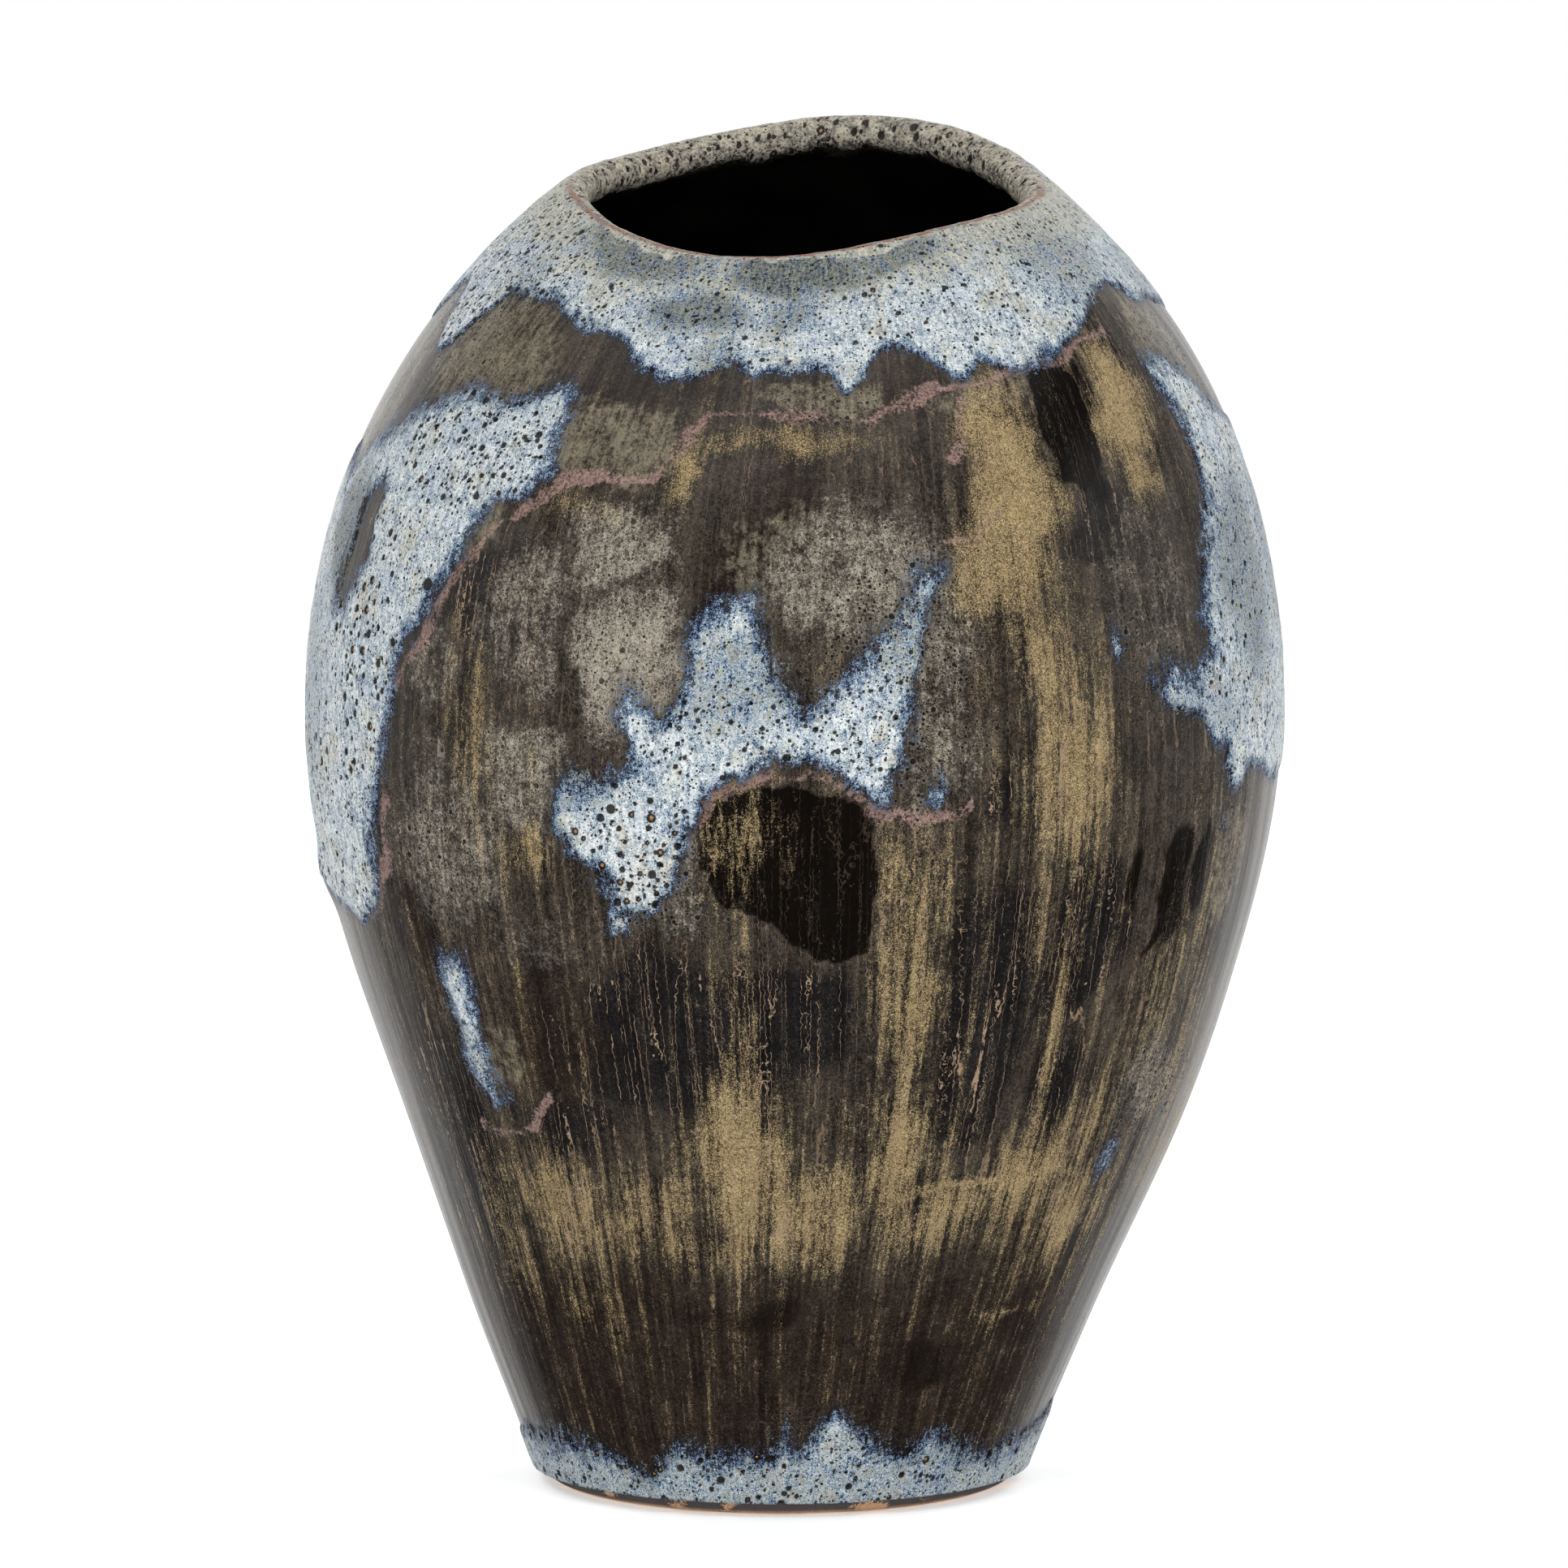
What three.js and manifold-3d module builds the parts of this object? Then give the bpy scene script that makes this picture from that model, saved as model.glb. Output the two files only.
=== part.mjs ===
// A hand-built stoneware vase: a fired clay jar with a narrow, wavy mouth, and the glaze coats that lie on it.
// Millimetres, +Z up. The origin is the middle of the foot, on the surface that the vase stands on.
// Angles are in degrees around Z: 0 is the front (-Y) and 90 is the right side (+X).
import * as THREE from 'three';
import { mergeVertices } from 'three/addons/utils/BufferGeometryUtils.js';
import Module from 'manifold-3d';

const wasm = await Module();
wasm.setup();

// ---- Driving dimensions ------------------------------------------------------------------------------------
const BELLY_RADIUS = 119.5;
const BELLY_HEIGHT = 190;
const FOOT_RADIUS = 60.5;
const FOOT_WALL_START = 4;
const LIP_RADIUS = 59.6;
const LIP_HEIGHT = 319;
const WALL_THICKNESS = 7.5;
const FLOOR_THICKNESS = 10;
const FLOOR_FLAT_RADIUS = 32;
const GLAZE_THICKNESS = 0.9;
const PALE_GLAZE_THICKNESS = 0.7;
const GAP = 0.3;

// ---- What the potter's hands did to the round form ----------------------------------------------------------
const FOOT_LEAN = -3.5;
const FOOT_LEAN_TOP = 120;
const MOUTH_LEAN = 2.6;
const MOUTH_WAVE_START = 225;
const MOUTH_TILT = 7.8;
const MOUTH_TILT_ANGLE = 171;
const MOUTH_RIPPLE = 1.9;
const MOUTH_RIPPLE_ANGLE = 116;

// ---- Faceting ------------------------------------------------------------------------------------------------
const COLUMNS = 40;
const OUTER_STEPS = 8;
const INNER_STEPS = 6;
const LIP_STEPS = 4;
const FOOT_EDGE_STEPS = 2;
const FLOOR_CORNER_STEPS = 2;

// ---- Where the glazes stop, as [angle, height] ---------------------------------------------------------------
const COLLAR_EDGE = [
  [-95, 283], [-82, 294], [-63, 291], [-55, 301], [-44, 303], [-36, 299], [-28, 293], [-18, 290], [-12, 298],
  [-5, 292], [1, 295], [6, 289], [12, 296], [26, 290], [43, 291], [60, 296], [75, 299], [90, 295],
  [110, 288], [130, 293], [150, 284], [170, 291], [190, 284], [210, 291], [230, 286], [250, 292],
];
const FOOT_BAND_EDGE = [
  [-88, 14], [-53, 18], [-29, 22], [-11, 21], [4, 26], [10, 32], [16, 22], [34, 19], [70, 18],
  [100, 16], [130, 23], [160, 17], [190, 25], [220, 18], [250, 21],
];
const LEFT_FLANK_OUTLINE = [
  [-44, 286], [-40, 282], [-43, 268], [-52, 232], [-56, 212], [-57, 190], [-64, 158], [-72, 150],
  [-82, 152], [-92, 170], [-98, 200], [-96, 235], [-92, 262], [-80, 274], [-60, 280],
];
const CENTRE_SPLASH_OUTLINE = [
  [-29, 206], [-30, 184], [-27, 166], [-20, 157], [-11, 158], [-9, 176], [-7, 190], [0, 196], [8, 189],
  [12, 186], [16, 206], [17, 238], [13, 234], [9, 214], [0, 212], [-5, 232], [-9, 233], [-13, 220], [-20, 210],
];
const RIGHT_FLANK_OUTLINE = [
  [76, 272], [71, 250], [70, 232], [62, 214], [49, 208], [50, 200], [56, 192], [68, 180], [80, 178],
  [94, 186], [104, 205], [104, 232], [94, 255], [86, 268],
];
const LOWER_LEFT_STREAK_OUTLINE = [[-53, 140], [-48, 140], [-45, 122], [-44, 106], [-48, 102], [-51, 119]];
const BACK_RUN_OUTLINE = [
  [142, 272], [160, 270], [168, 250], [164, 226], [168, 196], [160, 168], [150, 176], [148, 212], [138, 236],
];
const BACK_SPLASH_OUTLINE = [
  [-162, 236], [-148, 222], [-132, 228], [-126, 206], [-138, 186], [-150, 164], [-162, 172], [-170, 204],
];

// ---- The wall's section, as points of [radius, height] -------------------------------------------------------
const point = (radius, height) => new THREE.Vector2(radius, height);

const lowerWall = new THREE.CubicBezierCurve(
  point(FOOT_RADIUS, FOOT_WALL_START),
  point(89, 76),
  point(BELLY_RADIUS, 142),
  point(BELLY_RADIUS, BELLY_HEIGHT),
);
const upperWall = new THREE.CubicBezierCurve(
  point(BELLY_RADIUS, BELLY_HEIGHT),
  point(BELLY_RADIUS, 247),
  point(96.5, 291),
  point(LIP_RADIUS, LIP_HEIGHT),
);
// The lowest stretch of the inner wall, as a fraction of lowerWall, is taken up by the rounded floor corner.
const FLOOR_CORNER_SHARE = 0.12;

// A station is a place on the finished surface, with the way out of the wall there.
function station(position, outward) {
  return { position, outward: outward.clone().normalize() };
}

function onWall(curve, t) {
  const along = curve.getTangent(t);
  return station(curve.getPoint(t), point(along.y, -along.x));
}

function acrossWall({ position, outward }) {
  return station(position.clone().addScaledVector(outward, -WALL_THICKNESS), outward.clone().negate());
}

// Evenly spaced values from one end to the other, leaving out the first.
function spread(from, to, steps) {
  return Array.from({ length: steps }, (_, i) => from + ((to - from) * (i + 1)) / steps);
}

const outerStations = [onWall(lowerWall, 0)];
for (const t of spread(0, 1, OUTER_STEPS)) outerStations.push(onWall(lowerWall, t));
for (const t of spread(0, 1, OUTER_STEPS)) outerStations.push(onWall(upperWall, t));

const lipEdge = outerStations.at(-1);
const lipCentre = lipEdge.position.clone().addScaledVector(lipEdge.outward, -WALL_THICKNESS / 2);
const lipStations = spread(0, Math.PI, LIP_STEPS).map((turn) => {
  const outward = lipEdge.outward.clone().rotateAround(point(0, 0), turn);
  return station(lipCentre.clone().addScaledVector(outward, WALL_THICKNESS / 2), outward);
});

const innerStations = [];
for (const t of spread(1, 0, INNER_STEPS)) innerStations.push(acrossWall(onWall(upperWall, t)));
for (const t of spread(1, FLOOR_CORNER_SHARE, INNER_STEPS)) innerStations.push(acrossWall(onWall(lowerWall, t)));

const cornerTop = innerStations.at(-1);
const cornerSlope = cornerTop.outward.x / cornerTop.outward.y;
const cornerRadius = cornerTop.position.x + (cornerTop.position.y - FLOOR_THICKNESS) / cornerSlope;
const floorCorner = new THREE.QuadraticBezierCurve(
  cornerTop.position,
  point(cornerRadius, FLOOR_THICKNESS),
  point(FLOOR_FLAT_RADIUS, FLOOR_THICKNESS),
);
const floorStations = spread(0, 1, FLOOR_CORNER_STEPS).map((t) => onWall(floorCorner, t));
floorStations.push(station(point(0, FLOOR_THICKNESS), point(0, 1)));

const surface = [...outerStations, ...lipStations, ...innerStations, ...floorStations];
const LIP_CREST = outerStations.length - 1 + LIP_STEPS / 2;
const LAST = surface.length - 1;

// The line that lies at one depth under the finished surface, from one station to another.
function lineAtDepth(depth, first, last) {
  return surface.slice(first, last + 1).map(({ position, outward }) => {
    const placed = position.clone().addScaledVector(outward, -depth);
    return point(Math.max(placed.x, 0), placed.y);
  });
}

// ---- From section to solid -----------------------------------------------------------------------------------
function rimWave(angle) {
  const tilt = MOUTH_TILT * Math.cos(angle - THREE.MathUtils.degToRad(MOUTH_TILT_ANGLE));
  return tilt + MOUTH_RIPPLE * Math.cos(3 * angle - THREE.MathUtils.degToRad(MOUTH_RIPPLE_ANGLE));
}

// Leans the foot and the mouth sideways, and tilts and ripples the mouth.
function shapeByHand(geometry) {
  const places = geometry.attributes.position;
  for (let i = 0; i < places.count; i += 1) {
    const [x, y, z] = [places.getX(i), places.getY(i), places.getZ(i)];
    const foot = 1 - THREE.MathUtils.smoothstep(z, 0, FOOT_LEAN_TOP);
    const mouth = THREE.MathUtils.smoothstep(z, MOUTH_WAVE_START, LIP_HEIGHT);
    places.setX(i, x + FOOT_LEAN * foot + MOUTH_LEAN * mouth);
    places.setZ(i, z + mouth * rimWave(Math.atan2(x, -y)));
  }
  return geometry;
}

function revolve(profile) {
  const geometry = new THREE.LatheGeometry(profile, COLUMNS);
  geometry.rotateX(Math.PI / 2);
  return shapeByHand(geometry);
}

// A coat of glaze between two stations, with its top above and its bottom below the finished surface's depth 0.
function ringCoat(first, last, topDepth, bottomDepth) {
  const top = lineAtDepth(topDepth, first, last);
  const bottom = lineAtDepth(bottomDepth, first, last).reverse();
  return revolve([...top, ...bottom, top[0].clone()]);
}

function toSolid(geometry) {
  geometry.deleteAttribute('normal');
  geometry.deleteAttribute('uv');
  const merged = mergeVertices(geometry);
  return new wasm.Manifold(new wasm.Mesh({
    numProp: 3,
    vertProperties: new Float32Array(merged.attributes.position.array),
    triVerts: new Uint32Array(merged.index.array),
  }));
}

function toGeometry(solid) {
  const mesh = solid.getMesh();
  const geometry = new THREE.BufferGeometry();
  geometry.setAttribute('position', new THREE.BufferAttribute(mesh.vertProperties, mesh.numProp));
  geometry.setIndex(new THREE.BufferAttribute(mesh.triVerts, 1));
  geometry.computeVertexNormals();
  return geometry;
}

// ---- Cutters that trim a coat to its outline ------------------------------------------------------------------
const CUTTER_INSIDE = 20;
const CUTTER_OUTSIDE = 220;

function polarPlace([angle, height], radius) {
  const turn = THREE.MathUtils.degToRad(angle);
  return [radius * Math.sin(turn), -radius * Math.cos(turn), height];
}

function cutterGeometry(places, triangles) {
  const geometry = new THREE.BufferGeometry();
  geometry.setAttribute('position', new THREE.Float32BufferAttribute(places.flat(), 3));
  geometry.setIndex(triangles.flat());
  return shapeByHand(geometry);
}

// An outline of [angle, height] points, carried out along the radius.
function outlineCutter(outline) {
  const flat = outline.map(([angle, height]) => point(angle, height));
  const ordered = THREE.ShapeUtils.isClockWise(flat) ? outline.toReversed() : outline;
  const faces = THREE.ShapeUtils.triangulateShape(ordered.map(([angle, height]) => point(angle, height)), []);
  const count = ordered.length;
  const places = [
    ...ordered.map((corner) => polarPlace(corner, CUTTER_OUTSIDE)),
    ...ordered.map((corner) => polarPlace(corner, CUTTER_INSIDE)),
  ];
  const triangles = [];
  for (const [a, b, c] of faces) triangles.push([a, b, c], [a + count, c + count, b + count]);
  for (let a = 0; a < count; a += 1) {
    const b = (a + 1) % count;
    triangles.push([a, a + count, b], [b, a + count, b + count]);
  }
  return cutterGeometry(places, triangles);
}

// A ring whose one edge follows [angle, height] points all the way round, and whose other edge is level.
function bandCutter(edge, levelHeight) {
  const edgeIsLower = edge[0][1] < levelHeight;
  const count = edge.length;
  const places = [];
  for (const [angle, height] of edge) {
    const [low, high] = edgeIsLower ? [height, levelHeight] : [levelHeight, height];
    places.push(polarPlace([angle, low], CUTTER_OUTSIDE), polarPlace([angle, high], CUTTER_OUTSIDE));
    places.push(polarPlace([angle, high], CUTTER_INSIDE), polarPlace([angle, low], CUTTER_INSIDE));
  }
  const triangles = [];
  for (let column = 0; column < count; column += 1) {
    const here = 4 * column;
    const next = 4 * ((column + 1) % count);
    for (let side = 0; side < 4; side += 1) {
      const after = (side + 1) % 4;
      triangles.push([here + side, next + side, here + after], [here + after, next + side, next + after]);
    }
  }
  return cutterGeometry(places, triangles);
}

const paleTop = -(GAP + PALE_GLAZE_THICKNESS);
const paleBottom = -GAP;

// A patch of pale glaze on the outside of the wall, trimmed by a cutter.
function palePatch(cutter, firstStation = 0, lastStation = outerStations.length - 1) {
  const coat = toSolid(ringCoat(firstStation, lastStation, paleTop, paleBottom));
  return toGeometry(coat.intersect(toSolid(cutter)));
}

// ---- The pieces -----------------------------------------------------------------------------------------------
function stonewareBody() {
  const clayDepth = GLAZE_THICKNESS + GAP;
  const wall = lineAtDepth(clayDepth, 0, LAST);
  const { outward } = surface[0];
  const edgeRadius = wall[0].y / (1 + outward.y);
  const edgeCentre = wall[0].clone().addScaledVector(outward, -edgeRadius);
  const straightDown = -Math.PI / 2;
  const edge = spread(straightDown, outward.angle() - 2 * Math.PI, FOOT_EDGE_STEPS).slice(0, -1).map((turn) => (
    point(edgeCentre.x + edgeRadius * Math.cos(turn), edgeCentre.y + edgeRadius * Math.sin(turn))
  ));
  return revolve([point(0, 0), point(edgeCentre.x, 0), ...edge, ...wall]);
}

function linerGlaze() {
  const underside = lineAtDepth(GLAZE_THICKNESS, LIP_CREST, LAST).reverse();
  const top = lineAtDepth(0, LIP_CREST, LAST);
  // At the lip's crest the liner stops short of the outer coat, along the line of the lip.
  const intoTheVase = surface[LIP_CREST].outward.clone().rotateAround(point(0, 0), Math.PI / 2);
  for (const end of [underside.at(-1), top[0]]) end.addScaledVector(intoTheVase, GAP);
  return revolve([...underside, ...top]);
}

function shoulderCollar() {
  const firstStation = outerStations.length - 1 - OUTER_STEPS / 2;
  const lastStation = outerStations.length - 1 + LIP_STEPS;
  const aboveTheLip = LIP_HEIGHT + 4 * WALL_THICKNESS;
  return palePatch(bandCutter(COLLAR_EDGE, aboveTheLip), firstStation, lastStation);
}

function footBand() {
  const belowTheFoot = -WALL_THICKNESS;
  return palePatch(bandCutter(FOOT_BAND_EDGE, belowTheFoot), 0, OUTER_STEPS / 2);
}

const CLAY = { color: '#c79d7a', roughness: 0.9, metalness: 0 };
const DARK_GLAZE = { color: '#2f2720', roughness: 0.28, metalness: 0.3 };
const LINER_GLAZE = { color: '#0c0b0a', roughness: 0.15, metalness: 0 };
const PALE_GLAZE = { color: '#a9b6c2', roughness: 0.35, metalness: 0 };
const FOOT_GLAZE = { color: '#8f9aa6', roughness: 0.35, metalness: 0 };

const vase = new THREE.Group();

function add(name, geometry, look) {
  const mesh = new THREE.Mesh(geometry, new THREE.MeshStandardMaterial(look));
  mesh.name = name;
  vase.add(mesh);
}

add('stoneware_body', stonewareBody(), CLAY);
add('base_glaze_coat', ringCoat(0, LIP_CREST, 0, GLAZE_THICKNESS), DARK_GLAZE);
add('liner_glaze_coat', linerGlaze(), LINER_GLAZE);
add('shoulder_glaze_collar', shoulderCollar(), PALE_GLAZE);
add('foot_glaze_band', footBand(), FOOT_GLAZE);
add('left_flank_glaze_run', palePatch(outlineCutter(LEFT_FLANK_OUTLINE)), PALE_GLAZE);
add('centre_glaze_splash', palePatch(outlineCutter(CENTRE_SPLASH_OUTLINE)), PALE_GLAZE);
add('right_flank_glaze_run', palePatch(outlineCutter(RIGHT_FLANK_OUTLINE)), PALE_GLAZE);
add('lower_left_glaze_streak', palePatch(outlineCutter(LOWER_LEFT_STREAK_OUTLINE)), PALE_GLAZE);
add('back_glaze_run', palePatch(outlineCutter(BACK_RUN_OUTLINE)), PALE_GLAZE);
add('back_glaze_splash', palePatch(outlineCutter(BACK_SPLASH_OUTLINE)), PALE_GLAZE);

export default vase;
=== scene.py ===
"""A hand-built stoneware vase with a dark metallic glaze and runs of pale, pitted glaze.

Every piece is drawn in millimetres round the vase's own wall and put into the frame's metres by MM. An angle
goes round from the front, 0 at -Y and 90 at +X, in degrees. A height is measured on the upright form, before
the hand leaned it. A path is the distance along the wall's section: up the outside, over the lip and down
the inside to the middle of the floor.
"""
import math

import bpy
import numpy as np
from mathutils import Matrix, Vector


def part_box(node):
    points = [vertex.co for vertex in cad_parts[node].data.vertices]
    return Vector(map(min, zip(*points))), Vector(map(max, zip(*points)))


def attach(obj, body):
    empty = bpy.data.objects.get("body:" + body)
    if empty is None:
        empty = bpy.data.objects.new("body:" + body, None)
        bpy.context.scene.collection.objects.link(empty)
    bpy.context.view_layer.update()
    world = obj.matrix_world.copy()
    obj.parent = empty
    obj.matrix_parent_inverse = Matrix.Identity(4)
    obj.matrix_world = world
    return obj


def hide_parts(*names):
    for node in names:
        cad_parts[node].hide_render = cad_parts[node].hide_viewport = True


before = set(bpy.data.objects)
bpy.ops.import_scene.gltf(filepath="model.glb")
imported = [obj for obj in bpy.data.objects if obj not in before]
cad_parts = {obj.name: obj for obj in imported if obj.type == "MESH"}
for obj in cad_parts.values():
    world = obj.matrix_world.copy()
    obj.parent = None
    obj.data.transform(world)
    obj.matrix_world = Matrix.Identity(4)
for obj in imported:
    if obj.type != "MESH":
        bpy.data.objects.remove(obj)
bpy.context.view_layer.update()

# ---- The form, as the CAD model has it ----
BELLY_RADIUS = 119.5
BELLY_HEIGHT = 190.0
LIP_HEIGHT = 319.0
LOWER_WALL = [(60.5, 4.0), (89.0, 76.0), (BELLY_RADIUS, 142.0), (BELLY_RADIUS, BELLY_HEIGHT)]
UPPER_WALL = [(BELLY_RADIUS, BELLY_HEIGHT), (BELLY_RADIUS, 247.0), (96.5, 291.0), (59.6, LIP_HEIGHT)]
WALL_THICKNESS = 7.5
FLOOR_THICKNESS = 10.0
FLOOR_FLAT_RADIUS = 32.0
FLOOR_CORNER_SHARE = 0.12
MIDDLE_RADIUS = 0.05
GLAZE_THICKNESS = 0.9
CLAY_DEPTH = 1.2
FOOT_LEAN = -3.5
FOOT_LEAN_TOP = 120.0
MOUTH_LEAN = 2.6
MOUTH_WAVE_START = 225.0
MOUTH_TILT, MOUTH_TILT_ANGLE = 7.8, 171.0
MOUTH_RIPPLE, MOUTH_RIPPLE_ANGLE = 1.9, 116.0
# The slow unevenness of a wall made by hand, and the heights between which it sets in.
WAVE, WAVE_CELL = 0.55, 55
WAVE_STARTS = (8, 50)

coat_low, coat_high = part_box("base_glaze_coat")
MM = (coat_high.x - coat_low.x) / 2 / BELLY_RADIUS

# ---- Fineness of the meshes ----
BASE_COLUMNS = 448
BASE_STEP = 1.75
PATCH_STEP = 0.5
RING_COLUMNS = 900
RING_STEP = 0.65
INSIDE_COLUMNS = 256
INSIDE_STEP = 3.0


def smoothstep(low, high, value):
    share = np.clip((value - low) / (high - low), 0.0, 1.0)
    return share * share * (3 - 2 * share)


# ---- The wall's section ----
def bezier(corners, t):
    """Points of a Bezier curve of any degree, by repeated blending between its corners."""
    layers = [np.array(corner, float)[None, :] * np.ones((len(t), 1)) for corner in corners]
    while len(layers) > 1:
        layers = [a + (b - a) * t[:, None] for a, b in zip(layers, layers[1:])]
    return layers[0]


def outward_of(line):
    """Unit directions out of the wall along a line of (radius, height) points that runs up the outside."""
    along = np.gradient(line, axis=0)
    along /= np.linalg.norm(along, axis=1)[:, None]
    return np.stack([along[:, 1], -along[:, 0]], axis=1)


def build_section():
    """(paths, points, directions out of the wall, path where the lip starts, path where it ends)."""
    t = np.linspace(0, 1, 300)
    outside = np.concatenate([bezier(LOWER_WALL, t), bezier(UPPER_WALL, t)[1:]])
    outside_out = outward_of(outside)
    centre = outside[-1] - outside_out[-1] * WALL_THICKNESS / 2
    turns = np.linspace(0, math.pi, 60)[1:-1]
    first = math.atan2(outside_out[-1][1], outside_out[-1][0])
    lip_out = np.stack([np.cos(first + turns), np.sin(first + turns)], axis=1)
    lip = centre + lip_out * WALL_THICKNESS / 2
    keep = np.arange(len(outside)) >= int(FLOOR_CORNER_SHARE * len(t))
    inside = (outside - outside_out * WALL_THICKNESS)[keep][::-1]
    inside_out = -outside_out[keep][::-1]
    top = inside[-1]
    slope = inside_out[-1][0] / inside_out[-1][1]
    corner = (top[0] + (top[1] - FLOOR_THICKNESS) / slope, FLOOR_THICKNESS)
    floor_corner = bezier([top, corner, (FLOOR_FLAT_RADIUS, FLOOR_THICKNESS)], t)[1:]
    floor_radii = np.linspace(FLOOR_FLAT_RADIUS, MIDDLE_RADIUS, 40)[1:]
    floor = np.stack([floor_radii, np.full_like(floor_radii, FLOOR_THICKNESS)], axis=1)
    tail = np.concatenate([floor_corner, floor])
    tail_out = outward_of(tail)
    line = np.concatenate([outside, lip, inside, tail])
    out = np.concatenate([outside_out, lip_out, inside_out, tail_out])
    path = np.concatenate([[0], np.cumsum(np.linalg.norm(np.diff(line, axis=0), axis=1))])
    return path, line, out, path[len(outside) - 1], path[len(outside) + len(lip)]


PATH, LINE, OUT, LIP_START, LIP_END = build_section()
LIP_CREST = (LIP_START + LIP_END) / 2
OUTSIDE = PATH <= LIP_START


def path_at(height):
    """The path of a height on the outside. A height above the lip goes on over it by that much."""
    over = np.maximum(np.asarray(height, float) - LIP_HEIGHT, 0)
    return np.interp(height, LINE[OUTSIDE, 1], PATH[OUTSIDE]) + over


def wrap(angle):
    """The same angle between -180 and 180."""
    return (np.asarray(angle) + 180) % 360 - 180


# ---- Noise ----
LATTICE_SIZE = 64
LATTICE = np.random.default_rng(7).uniform(-1, 1, (LATTICE_SIZE,) * 3)


def noise(places, cell, seed):
    """Smooth noise between -1 and 1 that changes over about one cell, in millimetres."""
    grid = np.asarray(places) / cell + seed * 17.3
    whole = np.floor(grid).astype(int)
    part = grid - whole
    part = part * part * (3 - 2 * part)
    low = np.moveaxis(whole % LATTICE_SIZE, -1, 0)
    high = (low + 1) % LATTICE_SIZE
    x, y, z = np.moveaxis(part, -1, 0)

    def along_x(j, k):
        start = LATTICE[low[0], j, k]
        return start + (LATTICE[high[0], j, k] - start) * x

    def along_xy(k):
        start = along_x(low[1], k)
        return start + (along_x(high[1], k) - start) * y

    start = along_xy(low[2])
    return start + (along_xy(high[2]) - start) * z


# ---- Places on the wall ----
class Places:
    """Points on the finished surface, with what the glazes need to know about each."""

    def __init__(self, angle, path):
        self.angle, self.path = np.broadcast_arrays(np.asarray(angle, float), np.asarray(path, float))
        self.radius = np.interp(self.path, PATH, LINE[:, 0])
        self.height = np.interp(self.path, PATH, LINE[:, 1])
        turn = np.radians(self.angle)
        self.around = np.stack([np.sin(turn), -np.cos(turn)], axis=-1)
        sideways = self.radius[..., None] * self.around
        self.upright = np.concatenate([sideways, self.height[..., None]], axis=-1)
        self.streaks = np.concatenate([BELLY_RADIUS * self.around, self.path[..., None]], axis=-1)

    def lifted(self, lift):
        """The points in metres, lifted off the finished surface by lift millimetres."""
        lift = lift + WAVE * noise(self.upright, WAVE_CELL, 1) * smoothstep(*WAVE_STARTS, self.height)
        out_radius = np.interp(self.path, PATH, OUT[:, 0])
        out_height = np.interp(self.path, PATH, OUT[:, 1])
        radius = self.radius + lift * out_radius
        height = self.height + lift * out_height
        turn = np.radians(self.angle)
        tilt = MOUTH_TILT * np.cos(turn - math.radians(MOUTH_TILT_ANGLE))
        ripple = MOUTH_RIPPLE * np.cos(3 * turn - math.radians(MOUTH_RIPPLE_ANGLE))
        foot = 1 - smoothstep(0, FOOT_LEAN_TOP, height)
        mouth = smoothstep(MOUTH_WAVE_START, LIP_HEIGHT, height)
        x = radius * self.around[..., 0] + FOOT_LEAN * foot + MOUTH_LEAN * mouth
        y = radius * self.around[..., 1]
        z = height + mouth * (tilt + ripple)
        return np.stack([x, y, z], axis=-1) * MM


# ---- Where the glazes lie, as (angle, height) ----
COLLAR_EDGE = [
    (-95, 288), (-88, 297), (-82, 295), (-76, 285), (-71, 289), (-66, 301), (-60, 303), (-53, 304),
    (-44, 301), (-38, 301), (-32, 299), (-28, 294), (-22, 291), (-17, 294), (-13, 298), (-8, 294),
    (-3, 295), (3, 294), (7, 289), (10, 293), (13, 297), (18, 297), (22, 291), (26, 289), (30, 292),
    (34, 288), (40, 290), (46, 291), (52, 295), (60, 300), (68, 301), (76, 297), (90, 292),
    (110, 285), (122, 292), (136, 288), (150, 278), (160, 288), (172, 294), (186, 283), (200, 291),
    (214, 287), (226, 279), (240, 290), (253, 292),
]
FOOT_BAND_EDGE = [
    (-92, 12), (-78, 16), (-68, 16), (-58, 18), (-46, 16), (-36, 14), (-30, 11), (-26, 16),
    (-20, 19), (-14, 18), (-8, 19), (-2, 18), (1, 24), (4, 19), (8, 24), (11, 31), (15, 24),
    (20, 21), (27, 18), (34, 21), (42, 17), (52, 14), (64, 17), (80, 20), (96, 14), (112, 19),
    (128, 25), (142, 16), (160, 14), (176, 22), (192, 27), (208, 17), (224, 20), (240, 15),
    (256, 19),
]
LEFT_FLANK = [
    (-41, 287), (-36, 286), (-37, 276), (-35, 268), (-39, 259), (-43, 256), (-45, 247), (-48, 236),
    (-51, 226), (-55, 215), (-56, 200), (-58, 186), (-61, 168), (-63, 154), (-66, 146), (-72, 145),
    (-81, 149), (-90, 159), (-98, 182), (-102, 214), (-98, 246), (-90, 258), (-84, 250), (-79, 262),
    (-72, 268), (-64, 276), (-56, 283), (-49, 280),
]
LEFT_FLANK_GAP = [
    (-70.5, 252), (-68.5, 257), (-66.5, 250), (-67, 236), (-70, 225), (-72, 224), (-71.5, 238),
]
CENTRE_SPLASH = [
    (-20, 214), (-22, 206), (-19, 196), (-24, 193), (-29, 190), (-30, 180), (-28, 171), (-24, 165),
    (-22, 158), (-17, 157), (-14, 164), (-13, 172), (-13, 180), (-9, 190), (-3, 197), (3, 197),
    (7, 191), (10, 186), (13, 194), (14, 203), (14.5, 214), (16.5, 228), (19, 242), (15, 242),
    (12, 233), (8.5, 223), (4.5, 216), (1, 211), (-1, 216), (-3, 227), (-6, 235), (-10, 236),
    (-13, 228), (-13, 218), (-16, 208),
]
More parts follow.
